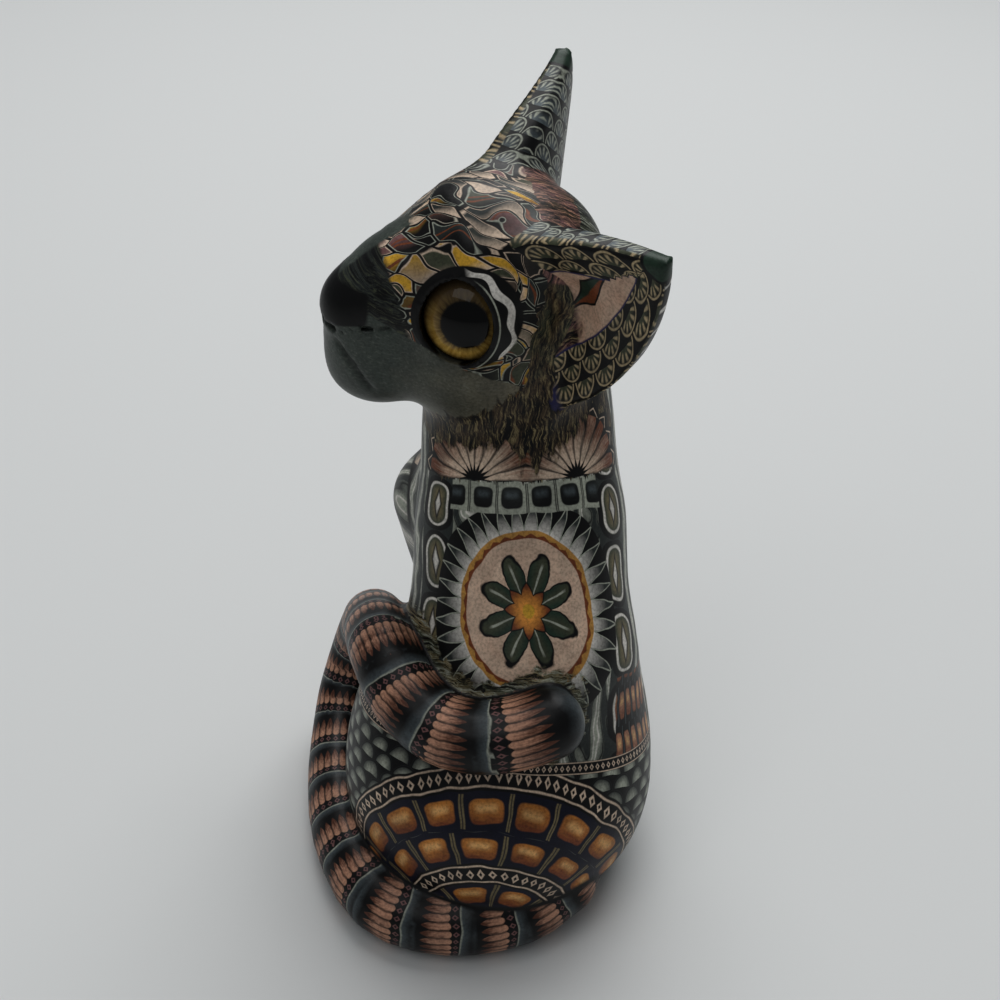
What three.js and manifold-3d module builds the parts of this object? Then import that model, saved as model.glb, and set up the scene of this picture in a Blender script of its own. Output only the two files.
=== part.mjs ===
// Seated cat figurine: one fused body of polymer clay with two glass eyes set into its head.
// Millimetres, +Z up. The cat sits facing -Y, so +X is its own left side.
// The origin lies on the flat underside, below the middle of the belly.

import * as THREE from "three";
import { mergeVertices } from "three/addons/utils/BufferGeometryUtils.js";
import Module from "manifold-3d";

const wasm = await Module();
wasm.setup();

// Height of the whole cat. Its pose and its proportions are written as shares of this height.
const catHeight = 115.4;
const unit = catHeight / 115.4;

// Glass eyes
const eyeDiameter = 11.8;
const eyeDomeRise = 3;
const eyeEdgeHeight = 2.2;
const eyeFitGap = 0.3;
const lidWall = 1.4;

// Ears
const earLength = 27.6 * unit;
const earHalfWidth = 13 * unit;
const earTipThickness = 3.4 * unit;
const earRootThickness = 7.4 * unit;
const earEdgeRadius = 1.6 * unit;
const rightEarGrowth = 1.065;

// Tail
const tailDiameter = 10.2 * unit;

// Trunk, from the seat up to the neck, as radii of the tapered core
const seatRadius = 19.5 * unit;
const waistRadius = 15.7 * unit;
const shoulderRadius = 13.8 * unit;
const neckRadius = 12 * unit;
const throatRadius = 11 * unit;

// Legs and paws
const upperLegRadius = 7 * unit;
const lowerLegRadius = 6 * unit;
const ankleRadius = 5 * unit;
const pawWidth = 11 * unit;
const hindFootWidth = 12 * unit;

// Head: its turn to the cat's left, its lift and its tilt, in degrees
const headTurn = 110;
const headLift = 6;
const headTilt = 15;

// Cells of the lattice that the clay's skin is drawn on, coarse below the neck and fine above it
const bodyCell = 3.3 * unit;
const headCell = 1.85 * unit;
const fineFrom = 72 * unit;
const fineBy = 82 * unit;
const settleReach = 0.6 * unit;

const v = (x, y, z) => new THREE.Vector3(x, y, z);
const at = (x, y, z) => v(x, y, z).multiplyScalar(unit);
const radians = THREE.MathUtils.degToRad;
const clamp = THREE.MathUtils.clamp;

// A clay field gives a distance in millimetres: negative inside the clay, positive outside.
// Two fields pressed together share a fillet about as wide as the softness, given in units.
function press(a, b, softness) {
  const width = softness * unit;
  const near = Math.max(width - Math.abs(a - b), 0) / width;
  return Math.min(a, b) - near * near * width / 4;
}

function pressAll(fields, softness) {
  return (p) => fields.map((field) => field(p)).reduce((a, b) => press(a, b, softness));
}

function sphere(centre, radius) {
  return (p) => p.distanceTo(centre) - radius;
}

// Egg: an ellipsoid's distance from its two scaled lengths.
function egg(centre, radii) {
  const r2 = radii.clone().multiply(radii);
  return (p) => {
    const q = p.clone().sub(centre);
    const inner = q.clone().divide(radii).length();
    const slope = Math.max(q.divide(r2).length(), 1e-6);
    return inner * (inner - 1) / slope;
  };
}

// Roll: a round bar that tapers from one radius to another.
function roll(from, to, fromRadius, toRadius) {
  const run = to.clone().sub(from);
  const length2 = run.lengthSq();
  return (p) => {
    const q = p.clone().sub(from);
    const share = clamp(q.dot(run) / length2, 0, 1);
    return q.addScaledVector(run, -share).length() - THREE.MathUtils.lerp(fromRadius, toRadius, share);
  };
}

function rolls(points, radii, softness) {
  const bars = points.slice(1).map((to, i) => roll(points[i], to, radii[i], radii[i + 1]));
  return pressAll(bars, softness);
}

// Trunk, haunches and legs

function foreleg(side, shoulderX) {
  const elbow = at(side * 9, -24, 22);
  const ankle = at(side * 7.5, -29, 5);
  const upper = roll(at(shoulderX, -14, 47.5), elbow, upperLegRadius, lowerLegRadius);
  const lower = roll(elbow, ankle, lowerLegRadius, ankleRadius);
  const paw = egg(at(side * 7.5, -33, 4.5), v(pawWidth / 2, 8 * unit, 5.5 * unit));
  return (p) => press(press(upper(p), lower(p), 5), paw(p), 3);
}

function hindleg(side) {
  const haunch = egg(at(side * 12, 6, 17), at(11, 20, 18));
  const foot = egg(at(side * 16, -12, 4.5), v(hindFootWidth / 2, 13 * unit, 5.5 * unit));
  return (p) => press(haunch(p), foot(p), 4);
}

const trunkLine = [at(0, 13, 19), at(-2.2, 8, 36), at(-1.3, -1, 53), at(0, -8, 68), at(1, -9, 84)];
const trunkRadii = [seatRadius, waistRadius, shoulderRadius, neckRadius, throatRadius];
const trunk = pressAll([
  rolls(trunkLine, trunkRadii, 8),
  egg(at(0, -14, 50), at(12, 11, 20)),
  egg(at(0, -4, 21), at(14, 17, 23)),
  egg(at(0.5, 14.7, 13), at(20.5, 20.8, 16)),
], 8);
const legs = pressAll([hindleg(1), hindleg(-1), foreleg(1, 12), foreleg(-1, -9)], 5);

// Tail: from the rump along the ground on the left side, then folded up and back over the haunch

const tailSteps = 48;
const tailTension = 0.5;
const tailPath = new THREE.CatmullRomCurve3([
  at(-10.5, 27.5, 7), at(-4, 31.8, 4.9), at(6.5, 34.1, 4.6), at(16.7, 30.7, 4.6), at(23.5, 18.7, 4.6),
  at(26.4, 4, 4.9), at(26.6, -7, 8.5), at(24.3, -12, 17), at(22, -8.5, 25.5), at(20.5, 0, 32.5),
  at(19, 9, 37.5), at(16.9, 17.5, 40.3), at(13.5, 23.5, 38.2), at(8.5, 27.6, 36.6),
  at(3, 29.3, 36.7), at(-2.5, 29, 37.6), at(-6.5, 27.8, 38.6),
], false, "catmullrom", tailTension);

function tail() {
  const stations = tailPath.getPoints(tailSteps);
  const r = tailDiameter / 2;
  const bars = stations.slice(1).map((to, i) => roll(stations[i], to, r, r));
  return (p) => Math.min(...bars.map((bar) => bar(p)));
}

// Head, in its own frame: x forward along the muzzle, y to the cat's left, z up

const headPose = new THREE.Matrix4().makeRotationZ(radians(headTurn) - Math.PI / 2);
headPose.multiply(new THREE.Matrix4().makeRotationY(radians(-headLift)));
headPose.multiply(new THREE.Matrix4().makeRotationX(radians(-headTilt)));
headPose.setPosition(at(2, -6, 92));
const intoHead = headPose.clone().invert();

const mirrored = (p, side) => v(p.x, p.y * side, p.z);

// Ear: a cupped blade. The front edge runs nearly straight to the tip and the outer edge is full.
// The right ear is a little larger than the left one, as hand-made ears are.
const earRoot = at(-1.5, 6.6, -2.6);
const earAlong = v(-8.2, 16, 20.4).normalize();
const earFacing = v(0.74, 0.6, -0.17);
const earCup = 0.028 / unit;
const earLean = 2.5 * unit;
const earStump = 3 * unit;

function ear(side) {
  const root = mirrored(earRoot, side);
  const along = mirrored(earAlong, side);
  const facing = mirrored(earFacing, side);
  facing.addScaledVector(along, -facing.dot(along)).normalize();
  const across = along.clone().cross(facing).multiplyScalar(side);
  const growth = side < 0 ? rightEarGrowth : 1;
  return (p) => {
    const q = p.clone().sub(root).divideScalar(growth);
    const height = q.dot(along);
    const depth = q.dot(facing);
    const width = q.dot(across);
    const share = clamp(height / earLength, 0, 1);
    const frontEdge = Math.pow(1 - Math.pow(share, 1.4), 0.95);
    const outerEdge = Math.pow(1 - Math.pow(share, 2.4), 0.8);
    const halfWidth = earHalfWidth * (width < 0 ? frontEdge : outerEdge);
    const thickness = THREE.MathUtils.lerp(earRootThickness, earTipThickness, share) / 2;
    const sheet = earCup * width * width - earLean * (1 - share);
    const overFace = Math.abs(depth - sheet) - thickness + earEdgeRadius;
    const overSide = (Math.abs(width) - halfWidth) * 0.85 + earEdgeRadius;
    const overEdge = Math.max(overSide, height - earLength + earEdgeRadius);
    const outside = Math.hypot(Math.max(overFace, 0), Math.max(overEdge, 0));
    const blade = 0.9 * (outside + Math.min(Math.max(overFace, overEdge), 0) - earEdgeRadius);
    return -press(-blade, height + earStump, 2) * growth;
  };
}

// Eye: the ball of clay that holds the glass, and the direction that the glass looks in
const eyeLook = v(0.43, 0.85, 0.29).normalize();
const eyeBallCentre = at(6.7, 6.5, -3.2);
const eyeBallRadius = eyeDiameter / 2 + eyeFitGap + lidWall;
const lidEdge = Math.sqrt(eyeBallRadius ** 2 - (eyeDiameter / 2 + eyeFitGap) ** 2);
const glassSunk = 0.6;

function skull() {
  const bridge = [at(5.5, 0, -0.5), at(14, 0, -5.2), at(19.5, 0, -7.2)];
  const nose = rolls(bridge, [11, 7.9, 5.5].map((radius) => radius * unit), 4);
  const muzzle = egg(at(13.6, 0, -14), at(10.5, 8.4, 8.4));
  const chin = egg(at(16.5, 0, -18.5), at(6, 5.5, 4.5));
  const dome = egg(at(-0.5, 0, -1), at(13, 12.5, 12.3));
  const noseTip = egg(at(21.8, 0, -7.6), at(3.2, 4, 3.4));
  const sides = [1, -1].map((side) => {
    const cheek = egg(at(3, side * 7.5, -11.5), at(10.5, 7.2, 9.5));
    const ball = sphere(mirrored(eyeBallCentre, side), eyeBallRadius);
    return { cheek, ball, ear: ear(side) };
  });
  return (p) => {
    let d = press(dome(p), nose(p), 5);
    d = press(d, muzzle(p), 4);
    d = press(d, chin(p), 3);
    d = press(d, noseTip(p), 2);
    for (const side of sides) {
      d = press(d, side.cheek(p), 5);
      d = press(d, side.ball(p), 3);
      d = press(d, side.ear(p), 3);
    }
    return d;
  };
}

// The whole cat

function catField() {
  const head = skull();
  const tailField = tail();
  return (p) => {
    let d = press(trunk(p), legs(p), 7);
    d = press(d, tailField(p), 2.5);
    return press(d, head(p.clone().applyMatrix4(intoHead)), 4);
  };
}

// Skin of a field: one lattice, whose cells shrink from the body's size to the head's.
// Every sheet of clay that passes through a cell gets one corner there, and every lattice edge
// that crosses the surface joins the corners of its four cells by a quadrilateral.

const corners = Array.from({ length: 8 }, (_, c) => [c & 1, (c >> 1) & 1, (c >> 2) & 1]);
const edges = [];
for (const axis of [0, 1, 2]) {
  for (let c = 0; c < 8; c++) {
    if (!corners[c][axis]) edges.push({ axis, from: c, to: c | (1 << axis) });
  }
}
const edgeBetween = (a, b) => edges.findIndex((e) => e.from === Math.min(a, b) && e.to === Math.max(a, b));
const faces = [];
for (const axis of [0, 1, 2]) {
  const [u, w] = [1 << ((axis + 1) % 3), 1 << ((axis + 2) % 3)];
  for (const base of [0, 1 << axis]) faces.push([base, base | u, base | u | w, base | w]);
}

// Which of the cell's edges belong to one sheet, from which corners are inside
const sheetsOf = Array.from({ length: 256 }, (_, mask) => {
  const inside = (c) => (mask >> c) & 1;
  const sheet = edges.map((e, i) => (inside(e.from) !== inside(e.to) ? i : -1));
  const join = (a, b) => {
    const [keep, drop] = [Math.min(sheet[a], sheet[b]), Math.max(sheet[a], sheet[b])];
    sheet.forEach((s, i) => { if (s === drop) sheet[i] = keep; });
  };
  for (const face of faces) {
    const around = face.map((c, i) => edgeBetween(c, face[(i + 1) % 4]));
    const crossed = around.filter((e) => sheet[e] >= 0);
    if (crossed.length === 2) join(crossed[0], crossed[1]);
    if (crossed.length === 4) {
      face.forEach((c, i) => { if (inside(c)) join(around[(i + 3) % 4], around[i]); });
    }
  }
  return sheet;
});

// Pinches: where two cells share a face with two opposite corners inside, and each holds all that
// face's edges in one sheet, the skin would meet itself along a line. The nearer empty corner is filled.
function fillPinches(values, size, index) {
  const filled = -0.01;
  const spotOf = (cell, c) => index(...cell.map((n, axis) => n + corners[c][axis]));
  const maskOf = (cell) => corners.reduce((m, _, c) => m | (values[spotOf(cell, c)] < 0 ? 1 << c : 0), 0);
  const wraps = (mask, face) => {
    const around = face.map((c, n) => sheetsOf[mask][edgeBetween(c, face[(n + 1) % 4])]);
    return around[0] >= 0 && around.every((sheet) => sheet === around[0]);
  };
  const mend = (cell, axis) => {
    const [lowFace, highFace] = [faces[2 * axis], faces[2 * axis + 1]];
    const before = cell.map((n, a) => (a === axis ? n - 1 : n));
    if (!wraps(maskOf(cell), lowFace) || !wraps(maskOf(before), highFace)) return false;
    const empty = lowFace.map((c) => spotOf(cell, c)).filter((spot) => values[spot] >= 0);
    values[values[empty[0]] < values[empty[1]] ? empty[0] : empty[1]] = filled;
    return true;
  };
  let mended = true;
  while (mended) {
    mended = false;
    for (let k = 1; k < size[2] - 1; k++) {
      for (let j = 1; j < size[1] - 1; j++) {
        for (let i = 1; i < size[0] - 1; i++) {
          const mask = maskOf([i, j, k]);
          if (mask === 0 || mask === 255) continue;
          for (const axis of [0, 1, 2]) mended = mend([i, j, k], axis) || mended;
        }
      }
    }
  }
}

function skin(field, low, high) {
  const levels = [];
  let z = low.z;
  while (z < high.z + headCell) {
    const fineness = clamp((z - fineFrom) / (fineBy - fineFrom), 0, 1);
    const cell = THREE.MathUtils.lerp(bodyCell, headCell, fineness);
    levels.push({ z, cell });
    z += cell;
  }
  const middle = v((low.x + high.x) / 2, (low.y + high.y) / 2, 0);
  const half = [(high.x - low.x) / 2, (high.y - low.y) / 2].map((h) => Math.ceil(h / headCell) + 1);
  const size = [2 * half[0] + 1, 2 * half[1] + 1, levels.length];
  const index = (i, j, k) => (k * size[1] + j) * size[0] + i;
  const place = (i, j, k) => {
    const { z: height, cell } = levels[k];
    return v(middle.x + (i - half[0]) * cell, middle.y + (j - half[1]) * cell, height);
  };
  const values = new Float64Array(size[0] * size[1] * size[2]);
  for (let k = 0; k < size[2]; k++) {
    for (let j = 0; j < size[1]; j++) {
      for (let i = 0; i < size[0]; i++) values[index(i, j, k)] = field(place(i, j, k));
    }
  }
  fillPinches(values, size, index);

  const points = [];
  const cellPoints = new Map();
  for (let k = 0; k < size[2] - 1; k++) {
    for (let j = 0; j < size[1] - 1; j++) {
      for (let i = 0; i < size[0] - 1; i++) {
        const near = corners.map(([a, b, c]) => values[index(i + a, j + b, k + c)]);
        const mask = near.reduce((m, d, c) => m | (d < 0 ? 1 << c : 0), 0);
        if (mask === 0 || mask === 255) continue;
        const sheet = sheetsOf[mask];
        const ids = {};
        for (const s of new Set(sheet.filter((n) => n >= 0))) {
          const sum = v(0, 0, 0);
          let count = 0;
          edges.forEach((e, n) => {
            if (sheet[n] !== s) return;
            const share = near[e.from] / (near[e.from] - near[e.to]);
            const [a, b] = [corners[e.from], corners[e.to]];
            sum.add(place(i + a[0], j + a[1], k + a[2]).lerp(place(i + b[0], j + b[1], k + b[2]), share));
            count += 1;
          });
          ids[s] = points.length;
          points.push(sum.divideScalar(count));
        }
        cellPoints.set(index(i, j, k), { sheet, ids });
      }
    }
  }

  const triangles = [];
  for (let k = 1; k < size[2] - 1; k++) {
    for (let j = 1; j < size[1] - 1; j++) {
      for (let i = 1; i < size[0] - 1; i++) {
        for (const axis of [0, 1, 2]) {
          const step = [0, 1, 2].map((n) => (n === axis ? 1 : 0));
          const here = values[index(i, j, k)] < 0;
          const there = values[index(i + step[0], j + step[1], k + step[2])] < 0;
          if (here === there) continue;
          const ring = [[0, 0], [1, 0], [1, 1], [0, 1]].map(([a, b]) => {
            const back = [0, 0, 0];
            back[(axis + 1) % 3] = a;
            back[(axis + 2) % 3] = b;
            const cell = cellPoints.get(index(i - back[0], j - back[1], k - back[2]));
            const from = back[0] | (back[1] << 1) | (back[2] << 2);
            return cell.ids[cell.sheet[edgeBetween(from, from | (1 << axis))]];
          });
          if (!here) ring.reverse();
          const [a, b, c, d] = ring;
          const short = points[a].distanceTo(points[c]) < points[b].distanceTo(points[d]);
          triangles.push(...(short ? [a, b, c, a, c, d] : [a, b, d, b, c, d]));
        }
      }
    }
  }
  const settled = relaxed(points, triangles).map((p) => settle(field, p, settleReach));
  return { points: settled, triangles };
}

// Relaxed: every corner moves halfway to the mean of its neighbours, which evens out the triangles.
function relaxed(points, triangles) {
  const sums = points.map(() => v(0, 0, 0));
  const counts = points.map(() => 0);
  triangles.forEach((a, n) => {
    const b = triangles[n % 3 === 2 ? n - 2 : n + 1];
    sums[a].add(points[b]);
    counts[a] += 1;
  });
  return points.map((p, n) => p.clone().lerp(sums[n].divideScalar(counts[n]), 0.5));
}

// Settle: slides a corner along the field's slope onto the surface, no farther than the reach.
function settle(field, start, reach) {
  const p = start.clone();
  const tiny = 0.05;
  for (let turn = 0; turn < 3; turn++) {
    const d = field(p);
    const slope = v(
      field(p.clone().add(v(tiny, 0, 0))) - d,
      field(p.clone().add(v(0, tiny, 0))) - d,
      field(p.clone().add(v(0, 0, tiny))) - d,
    ).divideScalar(tiny);
    p.addScaledVector(slope, -d / Math.max(slope.lengthSq(), 0.2));
  }
  const shift = p.clone().sub(start);
  return start.clone().add(shift.clampLength(0, reach));
}

// Solids for cutting and joining

function solidFrom(positions, triangles) {
  return new wasm.Manifold(new wasm.Mesh({
    numProp: 3,
    vertProperties: new Float32Array(positions),
    triVerts: new Uint32Array(triangles),
  }));
}

function solidOf(geometry, matrix) {
  let g = geometry.clone().applyMatrix4(matrix);
  g.deleteAttribute("normal");
  g.deleteAttribute("uv");
  g = mergeVertices(g, 1e-4);
  return solidFrom(g.attributes.position.array, g.index.array);
}

function geometryOf(solid) {
  const mesh = solid.getMesh();
  const g = new THREE.BufferGeometry();
  g.setAttribute("position", new THREE.BufferAttribute(mesh.vertProperties, 3));
  g.setIndex(new THREE.BufferAttribute(mesh.triVerts, 1));
  g.computeVertexNormals();
  return g;
}

// Glass eye: a dome on a short edge, turned about its own Y axis, with its back at y = 0.
// The same outline, grown by the fit gap and run out past the lid, cuts its socket.

function eyeProfile() {
  const r = eyeDiameter / 2;
  const domeRadius = (r * r + eyeDomeRise * eyeDomeRise) / (2 * eyeDomeRise);
  const halfAngle = Math.asin(r / domeRadius);
  const top = eyeEdgeHeight + eyeDomeRise;
  const rings = 6;
  const outline = [new THREE.Vector2(0, 0), new THREE.Vector2(r, 0)];
  for (let n = 0; n < rings; n++) {
    const a = halfAngle * (1 - n / rings);
    outline.push(new THREE.Vector2(domeRadius * Math.sin(a), top - domeRadius * (1 - Math.cos(a))));
  }
  outline.push(new THREE.Vector2(0, top));
  return outline;
}

function socketProfile() {
  const r = eyeDiameter / 2 + eyeFitGap;
  const out = eyeEdgeHeight + eyeBallRadius;
  return [[0, -eyeFitGap], [r, -eyeFitGap], [r, out], [0, out]].map(([x, y]) => new THREE.Vector2(x, y));
}

const eyeSides = 32;
const glassSeat = lidEdge - glassSunk - eyeEdgeHeight;

function eyePose(side) {
  const look = mirrored(eyeLook, side);
  const seat = mirrored(eyeBallCentre, side).addScaledVector(look, glassSeat);
  const turn = new THREE.Quaternion().setFromUnitVectors(v(0, 1, 0), look);
  const inHead = new THREE.Matrix4().compose(seat, turn, v(1, 1, 1));
  return headPose.clone().multiply(inHead);
}

// Clay body with its sockets cut and its underside cut flat

function clayCat() {
  const low = at(-30, -45, -12);
  const high = at(36, 44, 126);
  const { points, triangles } = skin(catField(), low, high);
  let solid = solidFrom(points.flatMap((p) => [p.x, p.y, p.z]), triangles);
  for (const side of [1, -1]) {
    solid = solid.subtract(solidOf(new THREE.LatheGeometry(socketProfile(), eyeSides), eyePose(side)));
  }
  const slabSize = 2 * catHeight;
  const below = new THREE.Matrix4().makeTranslation(0, 0, -slabSize / 2);
  solid = solid.subtract(solidOf(new THREE.BoxGeometry(slabSize, slabSize, slabSize), below));
  return geometryOf(solid);
}

// The figurine

const clay = new THREE.MeshStandardMaterial({ color: 0x4b4a42, roughness: 0.42, metalness: 0 });
const glass = new THREE.MeshStandardMaterial({ color: 0x8a6424, roughness: 0.05, metalness: 0 });

const cat = new THREE.Group();
const body = new THREE.Mesh(clayCat(), clay);
body.name = "clay_cat";
cat.add(body);

for (const [name, side] of [["left_eye", 1], ["right_eye", -1]]) {
  const eye = new THREE.Mesh(new THREE.LatheGeometry(eyeProfile(), eyeSides), glass);
  eye.name = name;
  eye.applyMatrix4(eyePose(side));
  cat.add(eye);
}

export default cat;
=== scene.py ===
# %% [markdown]
# A seated cat of polymer clay, about 115 mm high, covered in slices cut from patterned canes.
# A cane is a log of coloured clay whose picture runs through its length, so each slice shows it.
# This lesson builds the clay skin from one distance field, then lays the slices on it as shader
# patterns that follow the trunk, the tail, the ears and the face.

import bpy
import numpy as np
from mathutils import Matrix, Vector


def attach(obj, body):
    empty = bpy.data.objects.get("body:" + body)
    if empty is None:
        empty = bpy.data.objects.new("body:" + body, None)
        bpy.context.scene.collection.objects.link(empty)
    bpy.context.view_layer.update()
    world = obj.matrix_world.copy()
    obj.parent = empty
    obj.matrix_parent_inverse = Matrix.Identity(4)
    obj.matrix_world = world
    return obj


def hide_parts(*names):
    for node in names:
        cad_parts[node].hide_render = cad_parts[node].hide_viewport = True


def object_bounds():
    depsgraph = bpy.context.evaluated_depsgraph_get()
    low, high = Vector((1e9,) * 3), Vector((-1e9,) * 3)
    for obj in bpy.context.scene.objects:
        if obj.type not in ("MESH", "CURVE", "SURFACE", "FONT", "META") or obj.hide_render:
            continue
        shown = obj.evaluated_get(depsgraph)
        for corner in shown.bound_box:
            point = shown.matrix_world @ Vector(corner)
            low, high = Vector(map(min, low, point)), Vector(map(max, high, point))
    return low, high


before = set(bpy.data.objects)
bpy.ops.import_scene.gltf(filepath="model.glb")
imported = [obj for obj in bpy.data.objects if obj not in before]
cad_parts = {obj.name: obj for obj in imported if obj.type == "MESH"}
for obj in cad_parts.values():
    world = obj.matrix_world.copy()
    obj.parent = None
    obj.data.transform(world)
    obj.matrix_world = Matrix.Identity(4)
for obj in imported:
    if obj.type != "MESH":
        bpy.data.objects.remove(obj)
cad_low, cad_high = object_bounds()
MM = 0.001
print("CAD box", [round(n, 4) for n in cad_high - cad_low])

# %% [markdown]
# The camera comes first, because every comparison needs it. The photograph looks down on the
# cat's back from behind, a little more than 30 degrees above the table, with a slight roll.
# Five numbers and a target describe that better than a free matrix does.

# %% Camera
def camera_axes(azimuth, elevation, roll):
    """Right, up and backward vectors: a turn about Z, a lift, then a roll in the picture plane."""
    a, e, r = np.radians([azimuth, elevation, roll])
    back = np.array([np.sin(a) * np.cos(e), -np.cos(a) * np.cos(e), np.sin(e)])
    right = np.cross(-back, [0, 0, 1])
    right /= np.linalg.norm(right)
    up = np.cross(back, right)
    return right * np.cos(r) + up * np.sin(r), up * np.cos(r) - right * np.sin(r), back


def make_camera(target_mm, distance_mm, azimuth, elevation, roll, view_angle):
    right, up, back = camera_axes(azimuth, elevation, roll)
    place = (np.array(target_mm) + back * distance_mm) * MM
    camera = bpy.data.objects.new("camera", bpy.data.cameras.new("camera"))
    bpy.context.scene.collection.objects.link(camera)
    camera.data.angle = np.radians(view_angle)
    camera.data.clip_start = 0.005
    rows = [[right[n], up[n], back[n], place[n]] for n in range(3)] + [[0, 0, 0, 1]]
    camera.matrix_world = Matrix(rows)
    bpy.context.scene.camera = camera
    return camera


bpy.context.scene.view_settings.view_transform = "Standard"
bpy.context.scene.view_settings.exposure = 0.22
bpy.context.scene.view_settings.gamma = 0.84
camera = make_camera(target_mm=(1.9, -3.5, 54.3), distance_mm=206.4,
                     azimuth=180.5, elevation=33.5, roll=2.7, view_angle=40)
print("camera at", [round(n, 3) for n in camera.location])

# %% [markdown]
# Clay that is pressed together has no seams, only soft fillets. A distance field says how far a
# point is from the clay, negative inside it. Two fields blend with a fillet when the smaller of
# them is taken with a little extra near the place where they are equal. Everything is in
# millimetres here, as a maker would measure it.

# %% Fields of clay
def press(a, b, softness):
    """Smooth minimum: min(a, b) minus a quarter of the softness times the squared closeness."""
    near = np.maximum(softness - np.abs(a - b), 0) / softness
    return np.minimum(a, b) - near * near * softness / 4


def carve(a, b, softness):
    """Smooth maximum, which takes clay away where b is positive."""
    return -press(-a, -b, softness)


def press_all(fields, softness):
    total = fields[0]
    for field in fields[1:]:
        total = press(total, field, softness)
    return total


def egg(p, centre, radii):
    """Ellipsoid: k(k - 1) / m, with k the scaled length and m the length scaled twice."""
    q = p - np.array(centre, float)
    r = np.array(radii, float)
    inner = np.linalg.norm(q / r, axis=-1)
    slope = np.maximum(np.linalg.norm(q / (r * r), axis=-1), 1e-6)
    return inner * (inner - 1) / slope


def roll(p, start, end, start_radius, end_radius):
    """Tapered bar: distance to the nearest point of its middle line, less the radius there."""
    start = np.array(start, float)
    run = np.array(end, float) - start
    q = p - start
    share = np.clip(q @ run / (run @ run), 0, 1)
    radius = start_radius + (end_radius - start_radius) * share
    return np.linalg.norm(q - share[..., None] * run, axis=-1) - radius


def rolls(p, points, radii, softness):
    bars = [roll(p, points[n], points[n + 1], radii[n], radii[n + 1]) for n in range(len(points) - 1)]
    return press_all(bars, softness)


# %% Trunk and legs
TRUNK_LINE = np.array([(0, 13, 19), (-2.2, 8, 36), (-1.3, -1, 53), (0, -8, 68), (1, -9, 84)], float)
TRUNK_RADII = [19.5, 15.7, 13.8, 12, 11]


def foreleg(p, side, shoulder_x):
    elbow = (side * 9, -24, 22)
    ankle = (side * 7.5, -29, 5)
    upper = roll(p, (shoulder_x, -14, 47.5), elbow, 7, 6)
    lower = roll(p, elbow, ankle, 6, 5)
    paw = egg(p, (side * 7.5, -33, 4.5), (5.5, 8, 5.5))
    return press(press(upper, lower, 5), paw, 3)


def hind_foot(p, side):
    return egg(p, (side * 16, -12, 4.5), (6, 13, 5.5))


def hindleg(p, side):
    haunch = egg(p, (side * 12, 6, 17), (11, 20, 18))
    return press(haunch, hind_foot(p, side), 4)


def trunk(p):
    forms = [rolls(p, TRUNK_LINE, TRUNK_RADII, 8), egg(p, (0, -14, 50), (12, 11, 20)),
             egg(p, (0, -4, 21), (14, 17, 23)), egg(p, (0.5, 14.7, 13), (20.5, 20.8, 16))]
    return press_all(forms, 8)


def legs(p):
    return press_all([hindleg(p, 1), hindleg(p, -1), foreleg(p, 1, 12), foreleg(p, -1, -9)], 5)


def hindlegs(p):
    return press(hindleg(p, 1), hindleg(p, -1), 5)


def limbs(p):
    """Only the forelegs and the hind feet, which wear socks; the haunches belong to the rump."""
    return press_all([foreleg(p, 1, 12), foreleg(p, -1, -9), hind_foot(p, 1), hind_foot(p, -1)], 5)


def toes(p, x, y, spacing):
    """Depth of the three clefts on a paw: narrow bells across it, fading in from its middle."""
    clefts = sum(np.exp(-(((p[..., 0] - x - n * spacing) / 0.42) ** 2)) for n in (-1, 0, 1))
    return 0.75 * clefts * np.clip((y - p[..., 1]) / 3, 0, 1) * np.clip((9.5 - p[..., 2]) / 3, 0, 1)


print("trunk radii", TRUNK_RADII)

# %% [markdown]
# The tail is one roll of clay that lies on the table, folds up at the front of the haunch and
# comes back over it. A Catmull-Rom curve through listed points gives its middle line. For
# the bands, each skin point also needs how far along the tail it is, and which way round.

# %% Tail
TAIL_POINTS = np.array([
    (-10.5, 27.5, 7), (-4, 31.8, 4.9), (6.5, 34.1, 4.6), (16.7, 30.7, 4.6), (23.5, 18.7, 4.6),
    (26.4, 4, 4.9), (26.6, -7, 8.5), (24.3, -12, 17), (22, -8.5, 25.5), (20.5, 0, 32.5),
    (19, 9, 37.5), (16.9, 17.5, 40.3), (13.5, 23.5, 38.2), (8.5, 27.6, 36.6),
    (3, 29.3, 36.7), (-2.5, 29, 37.6), (-6.5, 27.8, 38.6)], float)
TAIL_RADIUS = 5.1
RING_LENGTH = 7.2
RINGS = 12.9


def smooth_path(points, steps):
    """Catmull-Rom curve: a cubic in t on each span, whose slope at a point joins its neighbours."""
    ends = np.vstack([2 * points[0] - points[1], points, 2 * points[-1] - points[-2]])
    t = np.linspace(0, 1, steps, endpoint=False)[:, None]
    spans = []
    for n in range(1, len(ends) - 2):
        a, b, c, d = ends[n - 1:n + 3]
        spans.append(0.5 * (2 * b + (c - a) * t + (2 * a - 5 * b + 4 * c - d) * t ** 2
                            + (3 * b - a - 3 * c + d) * t ** 3))
    return np.vstack(spans + [points[-1][None]])


TAIL_PATH = smooth_path(TAIL_POINTS, 3)
tail_steps = np.linalg.norm(np.diff(TAIL_PATH, axis=0), axis=1)
TAIL_STARTS = np.concatenate([[0], np.cumsum(tail_steps)])
print("tail length, mm", round(TAIL_STARTS[-1], 1))


def tail(p):
    """Distance to the nearest of the path's straight steps, less the tail's radius."""
    nearest = np.full(p.shape[:-1], 1e9)
    for a, b in zip(TAIL_PATH[:-1], TAIL_PATH[1:]):
        nearest = np.minimum(nearest, roll(p, a, b, 0, 0))
    return nearest - TAIL_RADIUS


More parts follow.
